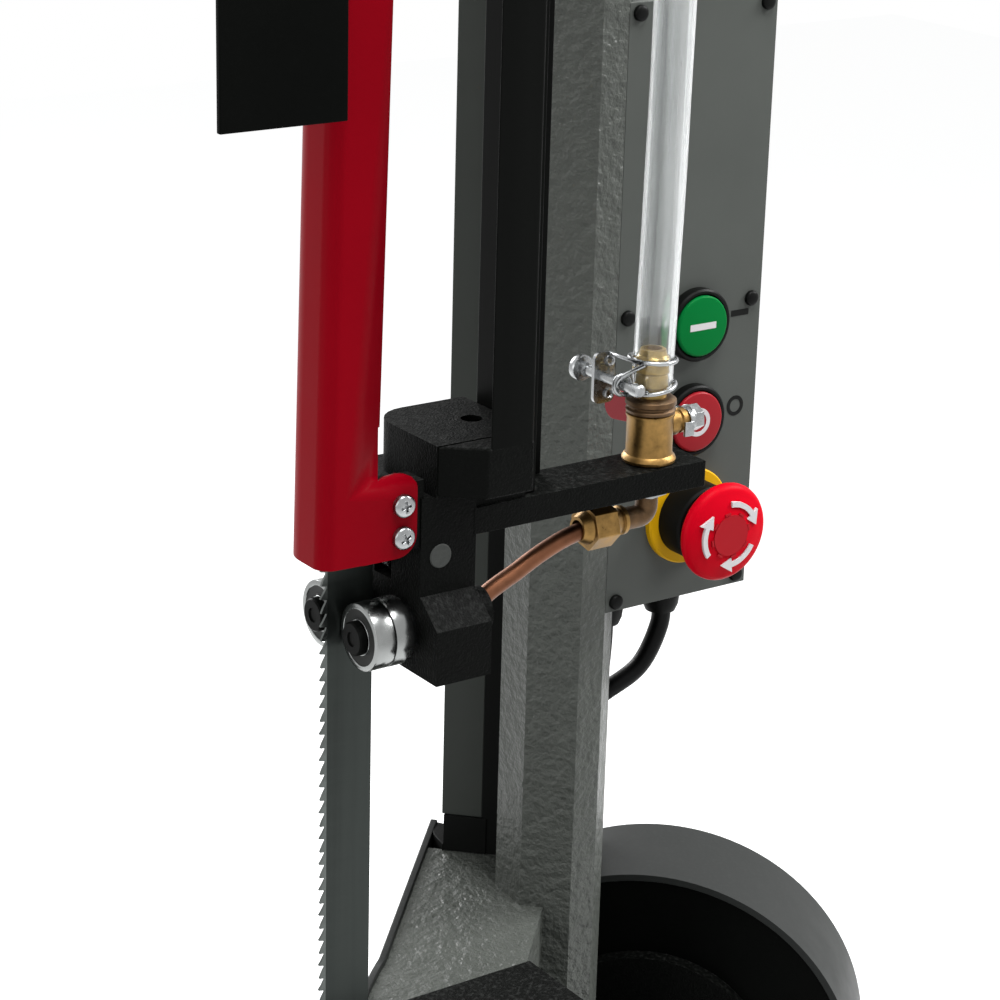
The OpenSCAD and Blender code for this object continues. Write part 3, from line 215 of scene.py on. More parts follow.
# machined phosphor bronze
bronze = surfaceMaterial("machinedBronze", "#b48b4c", 0.32, metallic=1.0, mottle=0.1, mottleSize=15)
# gloss two pack paint on the folded guard: deep red with soft highlights
glossRed = surfaceMaterial("twoPackPaintGuardRed", "#820010", 0.36, grain=3.0, grainHeight=0.012, mottle=0.03,
    specular=0.04)
# red vinyl sleeve dipped on the valve's lever
dippedRed = surfaceMaterial("dippedVinylSleeveRed", "#8c1220", 0.4, mottle=0.05, specular=0.2)
# bright zinc plate on wire, screws and nuts
zincPlate = surfaceMaterial("brightZincPlate", "#9c9e9f", 0.27, metallic=1.0, mottle=0.16, mottleSize=3, grain=1.2,
    grainHeight=0.03)
# machined brass: yellow, gone brown where water dries on it
brass = surfaceMaterial("machinedBrass", "#86683a", 0.38, metallic=0.9, mottle=0.34, mottleSize=4, roughVary=0.12,
    grain=0.8, grainHeight=0.03)
# the barb inside the hose: a paler copy of the brass, painted light so it reads as lit through the hose
litBarbBrass = surfaceMaterial("machinedBrassBarbLit", "#b89a58", 0.36, metallic=0.5, mottle=0.25, mottleSize=4)
# the same brass where it stays wet: brown, with dull spots
tarnishedBrass = surfaceMaterial("tarnishedCastBrass", "#57412a", 0.46, metallic=0.75, grain=0.8, grainHeight=0.06,
    mottle=0.4, mottleSize=4, dustAndTopLight=0.2, dustAndTopLightTone="#8d8267")
# drawn copper tube, handled and darkened
copper = surfaceMaterial("drawnCopperTube", "#6b4632", 0.42, metallic=0.95, mottle=0.3, mottleSize=8, grain=0.8,
    grainHeight=0.03)
# moulded rubber strip and cable sheath
rubberBlack = surfaceMaterial("mouldedRubber", "#0b0c0b", 0.6, grain=1.0, grainHeight=0.03, mottle=0.1, specular=0.07,
    dustAndTopLight=0.03)
cablePvc = surfaceMaterial("extrudedCablePvc", "#0a0b0b", 0.4, grain=2.5, grainHeight=0.02, mottle=0.06, specular=0.1)
# injection moulded plastics of the switches and knobs
blackPlastic = surfaceMaterial("mouldedNylonBlack", "#0a0b0a", 0.45, grain=0.7, grainHeight=0.01, mottle=0.05,
    specular=0.08)
greenPlastic = surfaceMaterial("mouldedPolycarbonateGreen", "#04682f", 0.38, mottle=0.03, specular=0.04)
redPlastic = surfaceMaterial("mouldedPolycarbonateRed", "#8c1a22", 0.35, mottle=0.03, specular=0.12)
stopRed = surfaceMaterial("mouldedNylonStopRed", "#c0021a", 0.4, mottle=0.03, specular=0.04)
# a darker copy of the stop red for the dome's middle and its notches: painted shade
paintedShadeRed = surfaceMaterial("mouldedNylonShadedRed", "#9c0a18", 0.45, mottle=0.05, specular=0.15)
yellowPlastic = surfaceMaterial("mouldedLegendYellow", "#cf9e0a", 0.45, mottle=0.03, specular=0.1)
# pad printed and moulded-in marks
whiteMark = surfaceMaterial("padPrintWhite", "#c4c2c4", 0.45, mottle=0.02, specular=0.15)
blackMark = surfaceMaterial("padPrintBlack", "#0d0e0d", 0.5, mottle=0.02, specular=0.1)
# painted tank and pump
tankPaint = surfaceMaterial("paintedTankSteel", "#303331", 0.42, grain=1.5, grainHeight=0.02, mottle=0.08,
    specular=0.2, dustAndTopLight=0.12)
# soft clear PVC tube: glassy wall with long white stripes, painted highlights where the wall is made less clear
clearPvc = surfaceMaterial("extrudedClearPvc", "#f4f6f6", 0.08, ior=1.42, mottle=0.02, roughVary=0.04,
    highlightStreaks=(0.66, 0.94, 5.0, 1.436))
print("materials made:", len(bpy.data.materials))


# Shapes
def gridSurface(points, wrapRows=False, wrapColumns=False, capEnds=False):
    # Quads between neighbours of an (m, n, 3) grid of points; the caps close the first and last row.
    points = np.asarray(points, float)
    rows, columns = points.shape[:2]
    index = np.arange(rows * columns).reshape(rows, columns)
    if wrapRows:
        index = np.vstack([index, index[:1]])
    if wrapColumns:
        index = np.hstack([index, index[:, :1]])
    quads = np.stack([index[:-1, :-1], index[:-1, 1:], index[1:, 1:], index[1:, :-1]], axis=-1).reshape(-1, 4)
    faces = quads.tolist()
    if capEnds:
        faces += [np.arange(columns)[::-1].tolist(), (np.arange(columns) + (rows - 1) * columns).tolist()]
    return points.reshape(-1, 3), faces


def frameOf(axis):  # two directions square to the axis
    axis = np.asarray(axis, float) / np.linalg.norm(axis)
    side = np.cross(axis, [0, 0, 1.0] if abs(axis[2]) < 0.9 else [1.0, 0, 0])
    side /= np.linalg.norm(side)
    return axis, side, np.cross(axis, side)


def lathe(profile, origin, axis, sides=64, closed=False):
    # Turned shape: origin + axis * height + radius * (cos a * side + sin a * up), for each (radius, height).
    axis, side, up = frameOf(axis)
    profile = np.asarray(profile, float)
    angles = np.linspace(0, 2 * math.pi, sides, endpoint=False)
    circle = np.cos(angles)[:, None] * side + np.sin(angles)[:, None] * up
    points = np.asarray(origin, float) + profile[:, 1, None, None] * axis + profile[:, 0, None, None] * circle[None]
    return gridSurface(points, wrapRows=closed, wrapColumns=True)


def smoothPath(points, steps=8):
    # Catmull-Rom curve through the points, as one product of the powers of t with the cubic's matrix.
    points = np.asarray(points, float)
    padded = np.vstack([points[:1], points, points[-1:]])
    t = np.linspace(0, 1, steps, endpoint=False)
    powers = np.stack([np.ones_like(t), t, t ** 2, t ** 3], axis=1)
    cubic = 0.5 * np.array([[0, 2, 0, 0], [-1, 0, 1, 0], [2, -5, 4, -1], [-1, 3, -3, 1]])
    windows = np.stack([padded[:-3], padded[1:-2], padded[2:-1], padded[3:]], axis=1)
    curve = np.einsum("ij,njk->nik", powers @ cubic, windows).reshape(-1, 3)
    return np.vstack([curve, points[-1:]])


def tubeAlong(path, radius, sides=20, capEnds=True):
    # Round section carried along the path on frames kept square to it by a fixed reference.
    way = np.gradient(path, axis=0)
    way /= np.linalg.norm(way, axis=1, keepdims=True)
    reference = np.array([0.31, 0.87, 0.39])
    side = np.cross(way, reference)
    side /= np.linalg.norm(side, axis=1, keepdims=True)
    up = np.cross(way, side)
    angles = np.linspace(0, 2 * math.pi, sides, endpoint=False)
    radius = np.broadcast_to(np.asarray(radius, float), len(path))[:, None, None]
    ring = np.cos(angles)[None, :, None] * side[:, None] + np.sin(angles)[None, :, None] * up[:, None]
    return gridSurface(path[:, None] + radius * ring, wrapColumns=True, capEnds=capEnds)


def prism(outline, low, high, axis="z"):
    # A flat outline carried from low to high along one axis.
    outline = np.asarray(outline, float)
    order = {"z": (0, 1, 2), "y": (0, 2, 1), "x": (2, 0, 1)}[axis]
    levels = [np.column_stack([outline, np.full(len(outline), h)]) for h in (low, high)]
    return gridSurface(np.stack(levels)[:, :, list(order)], wrapColumns=True, capEnds=True)


def arcPoints(radius, start, end, count, centre=(0, 0)):
    angles = np.radians(np.linspace(start, end, count))
    return np.column_stack([centre[0] + radius * np.cos(angles), centre[1] + radius * np.sin(angles)])


def ringBand(innerRadius, outerRadius, start, end, count=32):  # flat arc shaped outline
    return np.vstack([arcPoints(outerRadius, start, end, count), arcPoints(innerRadius, end, start, count)])


def finishMesh(thing, angle):
    mesh = bmesh.new()
    mesh.from_mesh(thing.data)
    bmesh.ops.remove_doubles(mesh, verts=mesh.verts, dist=1e-6)
    bmesh.ops.recalc_face_normals(mesh, faces=mesh.faces)
    mesh.to_mesh(thing.data)
    mesh.free()
    thing.data.shade_smooth()
    thing.data.set_sharp_from_angle(angle=math.radians(angle))


def addBevel(thing, width, segments=2):
    bevel = thing.modifiers.new("edges", "BEVEL")
    bevel.width, bevel.segments, bevel.limit_method = width * mm, segments, "ANGLE"
    bevel.angle_limit, bevel.miter_outer = math.radians(30), "MITER_SHARP"
    bevel.harden_normals = False
    weighted = thing.modifiers.new("normals", "WEIGHTED_NORMAL")
    weighted.keep_sharp = False


def settle(thing, body, nodes):
    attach(thing, body)
    if nodes:
        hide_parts(*nodes)
    return thing


def piece(name, body, parts, nodes=(), bevel=0.0, angle=35):
    # parts is a list of (surface, material); together they are one mesh
    vertices, faces, slots, materials, start = [], [], [], [], 0
    for (points, quads), material in parts:
        if material not in materials:
            materials.append(material)
        vertices.append(bowPlace(points))
        faces += [[i + start for i in face] for face in quads]
        slots += [materials.index(material)] * len(quads)
        start += len(points)
    data = bpy.data.meshes.new(name)
    data.from_pydata(np.vstack(vertices).tolist(), [], faces)
    for material in materials:
        data.materials.append(material)
    data.polygons.foreach_set("material_index", slots)
    thing = bpy.data.objects.new(name, data)
    bpy.context.scene.collection.objects.link(thing)
    finishMesh(thing, angle)
    if bevel:
        addBevel(thing, bevel)
    return settle(thing, body, nodes)


def dressNode(node, material, bevel, segments):
    # A merged copy of a CAD node with flat faces joined, so that its edges can be rounded as the real ones are.
    data = frame["nodes"][node].data.copy()
    thing = bpy.data.objects.new(node + "Finished", data)
    bpy.context.scene.collection.objects.link(thing)
    crease, flat = 30, 0.5  # degrees: sharper edges are rounded, flatter ones are joined
    mesh = bmesh.new()
    mesh.from_mesh(data)
    bmesh.ops.remove_doubles(mesh, verts=mesh.verts, dist=2e-6)
    bmesh.ops.dissolve_limit(mesh, angle_limit=math.radians(flat), verts=mesh.verts, edges=mesh.edges)
    mesh.to_mesh(data)
    mesh.free()
    data.materials.clear()
    data.materials.append(material)
    data.shade_smooth()
    data.set_sharp_from_angle(angle=math.radians(crease))
    addBevel(thing, bevel, segments)
    return settle(thing, nodeBody[node], [node])


# Bow, covers, drive and stand: the CAD shapes with rounded edges
dressed = {
    "bow_frame": (hammeredPaint, 2.2, 3), "band_cover": (shadedCoverPaint, 0.5, 2), "band_seals": (rubberBlack, 0.8, 2),
    "lower_wheel_cover": (litCoverBlack, 0.8, 2), "upper_wheel_cover": (litCoverBlack, 0.8, 2),
    "drive_wheel": (turnedIron, 0.4, 1), "idler_wheel": (turnedIron, 0.4, 1), "drive_shaft": (turnedSteel, 0.4, 1),
    "gearbox": (sandyBlack, 1.5, 2), "worm_wheel": (bronze, 0.4, 1), "worm_shaft": (turnedSteel, 0.4, 1),
    "motor_adapter": (satinBlack, 0.5, 1), "motor": (drumPaint, 1.2, 3), "fan_cover": (litCoverBlack, 0.5, 1),
    "idler_bearings": (bearingSteel, 0.3, 1), "tension_carriage": (sandyBlack, 1.0, 2),
    "tension_rails": (sandyBlack, 1.0, 2), "tension_screw": (blackPlastic, 1.0, 2),
    "guide_bar": (blackenedSteel, 0.5, 2), "guide_block": (sandyBlack, 1.0, 3), "coolant_arm": (sandyBlack, 0.8, 3),
    "guide_bracket": (sandyBlack, 1.2, 2), "clamp_lever": (blackPlastic, 0.6, 2), "splash_plate": (satinBlack, 0.4, 2),
    "hose_union": (brass, 0.5, 2), "fixed_guide_arm": (sandyBlack, 1.2, 2), "control_box": (boxPaint, 0.8, 2),
    "control_panel": (smoothPaint, 0.5, 2), "bow_handle": (blackPlastic, 2.0, 3), "swivel_arm": (hammeredPaint, 2.0, 2),
    "pivot_shaft": (turnedSteel, 0.6, 2), "base_casting": (hammeredPaint, 2.5, 3), "work_table": (groundIron, 0.8, 2),
    "moving_jaw": (groundIron, 0.8, 2), "vise_screw": (turnedSteel, 0.5, 1), "stand": (litStandPaint, 1.2, 2),
    "coolant_unit": (tankPaint, 2.5, 3), "band_guard": (glossRed, 0.35, 2),
}
finished = {node: dressNode(node, material, width, segments) for node, (material, width, segments) in dressed.items()}
print("CAD nodes dressed:", len(dressed))

# Saw band with its teeth
bandSizes = {"width": 19.0, "thickness": 0.9, "pitch": 4.6, "depth": 2.1, "set": 0.26, "centreX": 2.5, "centreY": 11.75,
             "wheelX": 130.83, "wheelY": 6.54, "bandRadius": 120.75, "lowZ": -345.0, "highZ": 455.0,
             "straightLow": -213.0, "straightHigh": 321.5, "twist": 45.0}


def easeBetween(value, start, end):  # 0 to 1 by 3t^2 - 2t^3
    t = np.clip((value - start) / (end - start), 0, 1)
    return t * t * (3 - 2 * t)


def bandPath(s):
    # Cutting run with its two twists, half a turn on the upper wheel, return run, and half a turn on the lower one.
    z = np.linspace(s["lowZ"], s["highZ"], 500)
    eased = easeBetween(z, s["straightHigh"], s["highZ"] - 4) + easeBetween(-z, -s["straightLow"], -s["lowZ"] - 4)
    lean = np.radians(180 - s["twist"] * eased)
    cut = np.column_stack([np.full_like(z, s["centreX"]), np.full_like(z, s["centreY"]), z])
    widths = np.column_stack([np.cos(lean), np.sin(lean), np.zeros_like(z)])
    angle = np.radians(np.linspace(0, 180, 120)[1:])
    upper = np.column_stack([s["wheelX"] - s["bandRadius"] * np.cos(angle), np.full_like(angle, s["wheelY"]),
                             s["highZ"] + s["bandRadius"] * np.sin(angle)])
    backZ = np.linspace(s["highZ"], s["lowZ"], 200)[1:]
    back = np.column_stack([np.full_like(backZ, s["wheelX"] + s["bandRadius"]), np.full_like(backZ, s["wheelY"]),
                            backZ])
    lower = np.column_stack([s["wheelX"] + s["bandRadius"] * np.cos(angle), np.full_like(angle, s["wheelY"]),
                             s["lowZ"] - s["bandRadius"] * np.sin(angle)])[:-1]
    rest = np.vstack([upper, back, lower]) @ wheelTurn.T
    lean = math.radians(180 - s["twist"])
    flat = np.tile([math.cos(lean), math.sin(lean), 0], (len(rest), 1))
    return np.vstack([cut, rest]), np.vstack([widths, flat])


def bandSurfaces(s):
    # Each tooth is four rings: gullet, tip, flank and back, moved in from the edge by a share of the depth.
    path, widths = bandPath(s)
    path, widths = np.vstack([path, path[:1]]), np.vstack([widths, widths[:1]])
    run = np.concatenate([[0], np.cumsum(np.linalg.norm(np.diff(path, axis=0), axis=1))])
    teeth = int(run[-1] / s["pitch"])
    shape = np.array([[0.0, 1.0], [0.08, 0.0], [0.45, 0.45], [0.85, 0.95]])
    places = ((np.arange(teeth)[:, None] + shape[:, 0]) / teeth * run[-1]).ravel()
    inset = np.tile(shape[:, 1] * s["depth"], teeth)
    lateral = np.where(shape[:, 1] == 0, 1.0, 0.0)[None] * (np.arange(teeth) % 2 * 2 - 1)[:, None] * s["set"]
    centre = np.column_stack([np.interp(places, run, path[:, i]) for i in range(3)])
    width = np.column_stack([np.interp(places, run, widths[:, i]) for i in range(3)])
    width /= np.linalg.norm(width, axis=1, keepdims=True)
    way = np.roll(centre, -1, axis=0) - np.roll(centre, 1, axis=0)
    flat = np.cross(width, way)
    flat /= np.linalg.norm(flat, axis=1, keepdims=True)
    half, thick = s["width"] / 2, s["thickness"] / 2
    tip = centre + width * (half - inset)[:, None] + flat * lateral.reshape(-1)[:, None]
    root = centre + width * (half - s["depth"] - 0.3)
    back = centre - width * half
    toothRing = np.stack([root - flat * thick, tip - flat * thick, tip + flat * thick, root + flat * thick], axis=1)
    bodyRing = np.stack([root + flat * thick, back + flat * thick, back - flat * thick, root - flat * thick], axis=1)
    return gridSurface(toothRing, wrapRows=True), gridSurface(bodyRing, wrapRows=True)


toothSurface, bodySurface = bandSurfaces(bandSizes)
barFoot = {"head": [(19.9, -11.9), (32, -22), (49.5, -22), (52, -11.9)], "headZ": (46.2, 62.7),
           "rib": [(33, -21.9), (49, -21.9), (53, -15), (56.5, -5), (42, -11.8)], "ribZ": (50.0, 220.0)}
piece("guideBarFoot", "guide", [(prism(barFoot["head"], *barFoot["headZ"]), sandyBlack),
                                (prism(barFoot["rib"], *barFoot["ribZ"]), blackenedSteel)], bevel=0.8)

# rubber web between the foot of the strip and the lower cover
sealWeb = {"outline": [(153.8, 179.0), (158.6, 182.0), (167.0, 191.6), (163.4, 197.4), (160.4, 198.4), (155.5, 188.0)],
           "z": (-199.0, -188.2)}
piece("sealWeb", "bow", [(prism(sealWeb["outline"], *sealWeb["z"]), rubberBlack)], bevel=0.4)

piece("sawBandToothed", "bow", [(toothSurface, toothSteel), (bodySurface, bandSteel)], ["saw_band"], angle=25)
print("band made")

# Guide rollers: sealed ball bearings on blackened pins
roller = {"radius": 11.0, "bore": 4.0, "width": 7.0, "sealIn": 5.9, "sealOut": 9.1, "sealDepth": 0.4, "round": 0.5}


def bearingParts(r, origin, axis):
    # Closed turned profiles of the outer ring, inner ring and the seal between them.
    o, w = r["radius"], r["width"]
    a = r["round"]
    outer = [(r["sealOut"], 0.15), (r["sealOut"] + 0.15, 0), (o - a, 0), (o - a * 0.3, a * 0.3), (o, a), (o, w - a),
             (o - a * 0.3, w - a * 0.3), (o - a, w), (r["sealOut"] + 0.15, w), (r["sealOut"], w - 0.15)]
    inner = [(r["bore"], 0.3), (r["bore"] + 0.3, 0), (r["sealIn"] - 0.1, 0), (r["sealIn"], 0.1), (r["sealIn"], w - 0.1),
             (r["sealIn"] - 0.1, w), (r["bore"] + 0.3, w), (r["bore"], w - 0.3)]
    d = r["sealDepth"]
    seal = [(r["sealIn"] - 0.05, d), (r["sealIn"] + 0.4, d), (r["sealIn"] + 0.6, d + 0.15), (r["sealOut"] - 0.5, d),
            (r["sealOut"] + 0.05, d - 0.1), (r["sealOut"] + 0.05, w - d + 0.1), (r["sealOut"] - 0.5, w - d),
            (r["sealIn"] - 0.05, w - d)]
    return [(lathe(profile, origin, axis, closed=True), material)
            for profile, material in ((outer, bearingSteel), (inner, bearingSteel), (seal, sealRubber))]


# lower guide's height, the rear rollers' depth, and the thrust rollers' place and distance along the band
guideLow, rearY = -172.0, 23.5
thrustX, thrustY, thrustUp = 23.3, 11.75, 26.0
for name, body, node, y, z in (("upperFront", "front_roller", "front_rollers", 0, 0),
                               ("upperRear", "rear_roller", "rear_rollers", rearY, 0),
                               ("lowerFront", "fixed_front_roller", "fixed_rollers_front", 0, guideLow),
                               ("lowerRear", "fixed_rear_roller", "fixed_rollers_rear", rearY, guideLow)):
    pair = bearingParts(roller, (0, y, z), (1, 0, 0)) + bearingParts(roller, (roller["width"] + 0.2, y, z), (1, 0, 0))
    piece(name + "Bearings", body, pair, [node])
for name, body, node, z in (("upperThrust", "thrust", "thrust_roller", thrustUp),
                            ("lowerThrust", "fixed_thrust", "fixed_thrust_roller", guideLow - thrustUp)):
    start = (thrustX, thrustY - roller["width"] / 2, z)
    piece(name + "Bearing", body, bearingParts(roller, start, (0, 1, 0)), [node])

pin = {"radius": 3.95, "headRadius": 5.5, "headOut": 2.8, "headLen": 2.5, "inBlock": 38.1, "start": -1.6,
       "spacerRadius": 6.5, "spacerStart": 14.5}


def guidePins(p, z):
    parts = []
    for y in (0, rearY):
        head = [(0, 0.5), (2.2, 0.5), (2.4, 0.0), (p["headRadius"] - 0.5, 0), (p["headRadius"], 0.5),
                (p["headRadius"], p["headLen"]), (0, p["headLen"])]
        parts.append((lathe(head, (-p["headOut"], y, z), (1, 0, 0)), blackenedSteel))
        shank = [(0, 0), (p["radius"], 0), (p["radius"], p["inBlock"]), (0, p["inBlock"])]
        parts.append((lathe(shank, (p["start"], y, z), (1, 0, 0)), blackenedSteel))
        spacer = [(p["radius"], 0), (p["spacerRadius"], 0), (p["spacerRadius"], 1.5), (p["radius"], 1.5)]
        parts.append((lathe(spacer, (p["spacerStart"], y, z), (1, 0, 0), closed=True), turnedSteel))
    return parts


def thrustPin(y0, y1, z):  # a plain pin with chamfered ends
    r, length = pin["radius"], y1 - y0
    return (lathe([(0, 0), (r - 0.3, 0), (r, 0.3), (r, length - 0.6), (r - 0.6, length), (0, length)],
                  (thrustX, y0, z), (0, 1, 0)), sawnSteel)


piece("upperGuidePins", "guide", guidePins(pin, 0) + [thrustPin(-10.4, 33.4, thrustUp)], ["roller_pins"])
piece("lowerGuidePins", "bow", guidePins(pin, guideLow) + [thrustPin(-18.4, 33.4, guideLow - thrustUp)],
      ["fixed_pins"])
print("rollers made")

# Screws: pan heads with a cross recess
crossScrew = {"radius": 3.7, "height": 2.6, "slot": 1.0, "reach": 1.9, "depth": 1.2, "x": 8.5}


def cutWith(thing, surface):
    # The cutter's faces are taken out of the piece, and the cutter is then removed.
    data = bpy.data.meshes.new("cutter")
    data.from_pydata(bowPlace(surface[0]).tolist(), [], surface[1])
    cutter = bpy.data.objects.new("cutter", data)
    bpy.context.scene.collection.objects.link(cutter)
    finishMesh(cutter, 30)
    cut = thing.modifiers.new("cut", "BOOLEAN")
    cut.operation, cut.solver, cut.object = "DIFFERENCE", "EXACT", cutter
    bpy.context.view_layer.update()
    made = bpy.data.meshes.new_from_object(thing.evaluated_get(bpy.context.evaluated_depsgraph_get()))
    thing.modifiers.clear()
    thing.data = made
    bpy.data.objects.remove(cutter)


def crossOutline(c, centre, angle=0.0):
    a, b = c["slot"] / 2, c["reach"]
    outline = np.array([(a, a), (a, b), (-a, b), (-a, a), (-b, a), (-b, -a), (-a, -a), (-a, -b), (a, -b), (a, -a),
                        (b, -a), (b, a)])
    turn = np.array([[math.cos(angle), -math.sin(angle)], [math.sin(angle), math.cos(angle)]])
    return outline @ turn.T + centre


def panHead(c, origin):
    r, h = c["radius"], c["height"]
    rise = np.linspace(0, 1, 7)
    dome = np.column_stack([r * np.cos(rise * math.pi / 2) ** 0.7, -h * (0.45 + 0.55 * np.sin(rise * math.pi / 2))])
    profile = np.vstack([[(0, 0), (r, 0)], dome])
    profile[-1, 0] = 0
    return lathe(profile, origin, (0, 1, 0), sides=48)


guardFront = -11.0
for i, (z, angle) in enumerate(((35.2, 0.5), (45.6, 0.15))):
    head = piece(f"guardScrew{i}", "guide", [(panHead(crossScrew, (crossScrew["x"], guardFront - 0.01, z)), zincPlate)],
                 ["guard_screws"])
    cutWith(head, prism(crossOutline(crossScrew, (crossScrew["x"], z), angle), guardFront - 4,
                        guardFront - crossScrew["height"] + crossScrew["depth"], axis="y"))
# the tab's rounded top is cut from the guard's copy
tabCut = [(-0.7, 54.6), (2, 55.6), (6, 56), (9, 55.5), (11.5, 54.3), (13.3, 52.2), (14.2, 49.5), (20, 48), (20, 72),
          (-0.7, 72)]
cutWith(finished["band_guard"], prism(tabCut, -14, -4, axis="y"))
low, high = nodeSpan("panel_screws")
panelFace = 115.0  # the control panel's front
panelScrew = {"radius": 3.0, "height": 2.2, "slot": 1.0, "reach": 1.7, "depth": 1.0}
inset = panelScrew["radius"]
spots = [(x, panelFace - 0.02, z) for x in (low[0] + inset, high[0] - inset)
         for z in (low[2] + inset, (low[2] + high[2]) / 2, high[2] - inset)]
piece("panelScrewHeads", "bow", [(panHead(panelScrew, spot), blackPlastic) for spot in spots], ["panel_screws"])
print("screws made")

# Coolant line
valve = {"x": 111.5, "y": 0.0, "top": 39.4, "under": 30.6, "hoseRadius": 6.8, "hoseBore": 5.6, "rise": 310.0,
         "hoseLow": 24.5, "hoseBow": 2.4}


def hexOutline(across, centre=(0, 0), turn=0.0, corner=0.6):
    # Six sides with a small facet at each corner.
    angles = np.radians(np.repeat(np.arange(6) * 60 + turn, 2) + np.tile([-corner * 4, corner * 4], 6))
    radius = across / 2 / math.cos(math.radians(30)) * 0.985
    return np.column_stack([centre[0] + radius * np.cos(angles), centre[1] + radius * np.sin(angles)])


def valveParts(v):
    origin = (v["x"], v["y"], v["top"])
    body = [(0, 0.02), (7.9, 0.02), (8.8, 0.5), (9.0, 1.4), (8.6, 2.3), (7.9, 3.0), (7.7, 3.8), (7.7, 15.2),
            (8.1, 16.0), (8.1, 16.6), (7.6, 16.9), (0, 16.9)]
    collar = [(0, 16.9), (7.5, 16.9), (8.1, 17.3), (8.3, 18.2), (7.6, 18.8), (7.7, 19.3), (8.5, 20.0), (8.4, 21.4),
              (7.3, 22.2), (6.0, 22.4), (0, 22.4)]
    barb = [(2.9, 22.4), (5.0, 22.4), (5.0, 25.5), (5.58, 26.2), (5.1, 30.3), (5.58, 31.0), (5.1, 35.3), (5.58, 35.6),
            (4.6, 36.6), (4.2, 38.4), (2.9, 38.6)]
    stem = [(0, 0), (4.6, 0), (4.6, 3.0), (3.7, 3.5), (3.7, 4.6), (4.2, 5.0), (4.2, 7.0), (0, 7.0)]
    return [(lathe(body, origin, (0, 0, 1)), brass), (lathe(collar, origin, (0, 0, 1)), tarnishedBrass),
            (lathe(barb, origin, (0, 0, 1), closed=True), litBarbBrass),
            (lathe(stem, (v["x"] + 6.4, v["y"], v["top"] + 12), (1, 0, 0), sides=32), brass),
            (lathe([(0, 0), (4.0, 0), (4.0, 14.5), (0, 14.5)], (v["x"], v["y"], v["under"] - 3), (0, 0, 1)),
             tarnishedBrass)]


piece("ballValve", "guide", valveParts(valve), ["coolant_valve"], angle=30)

lever = {"nut": 8.0, "thick": 1.7, "fromBody": 13.6, "start": -5.0, "sleeve": 17.0, "end": 42.0, "dip": 8.0}
leverX = valve["x"] + lever["fromBody"]
leverZ = valve["top"] + 12


def leverOutline(start, end, half):  # a bar with rounded ends in the y-z plane, dipped about the stem
    bar = np.vstack([arcPoints(half, -90, 90, 10, (end - half, 0)), arcPoints(half, 90, 270, 10, (start + half, 0))])
    a = math.radians(-lever["dip"])
    return bar @ np.array([[math.cos(a), math.sin(a)], [-math.sin(a), math.cos(a)]]) + (0, leverZ)


leverParts = [
    (lathe([(0, 0), (3.0, 0), (3.0, 5.0), (0, 5.0)], (leverX - 4.5, 0, leverZ), (1, 0, 0)), zincPlate),
    (prism(leverOutline(lever["start"], lever["end"] - 3, 3.9), leverX, leverX + lever["thick"], axis="x"), zincPlate),
    (prism(leverOutline(lever["sleeve"], lever["end"], 4.7), leverX - 0.9, leverX + lever["thick"] + 0.9, axis="x"),
     dippedRed),
    (prism([(-5.0, leverZ - 4.5), (-3.8, leverZ - 4.5), (-3.8, leverZ + 0.5), (-5.0, leverZ + 0.5)], leverX - 2.5,
           leverX + 1.2, axis="x"), zincPlate),
    (lathe([(0, 0), (4.7, 0), (4.7, 0.9), (0, 0.9)], (leverX + lever["thick"], 0, leverZ), (1, 0, 0)), zincPlate),
    (prism(hexOutline(lever["nut"], (0, leverZ), 25), leverX + lever["thick"] + 0.9, leverX + lever["thick"] + 4.4,
           axis="x"), zincPlate),
    (lathe([(0, 7.4), (1.7, 7.2), (2.3, 6.6), (2.3, 0), (0, 0)], (leverX + 0.1, 0, leverZ), (1, 0, 0)), turnedSteel),
]
piece("valveLever", "valve_handle", leverParts, ["valve_lever"], bevel=0.2)

clamp = {"wire": 0.75, "low": 25.6, "high": 35.0, "plate": (98.0, 106.4, 57.0, 74.4), "plateY": 14.0, "screwX": 101.0,
         "screwZ": 66.5, "screwStart": -8.0, "screwEnd": 26.5}


def roundedBox(x0, x1, y0, y1, radius):
    corners = ((x1 - radius, y1 - radius, 0), (x0 + radius, y1 - radius, 90), (x0 + radius, y0 + radius, 180),
               (x1 - radius, y0 + radius, 270))
    return np.vstack([arcPoints(radius, start, start + 90, 6, (x, y)) for x, y, start in corners])


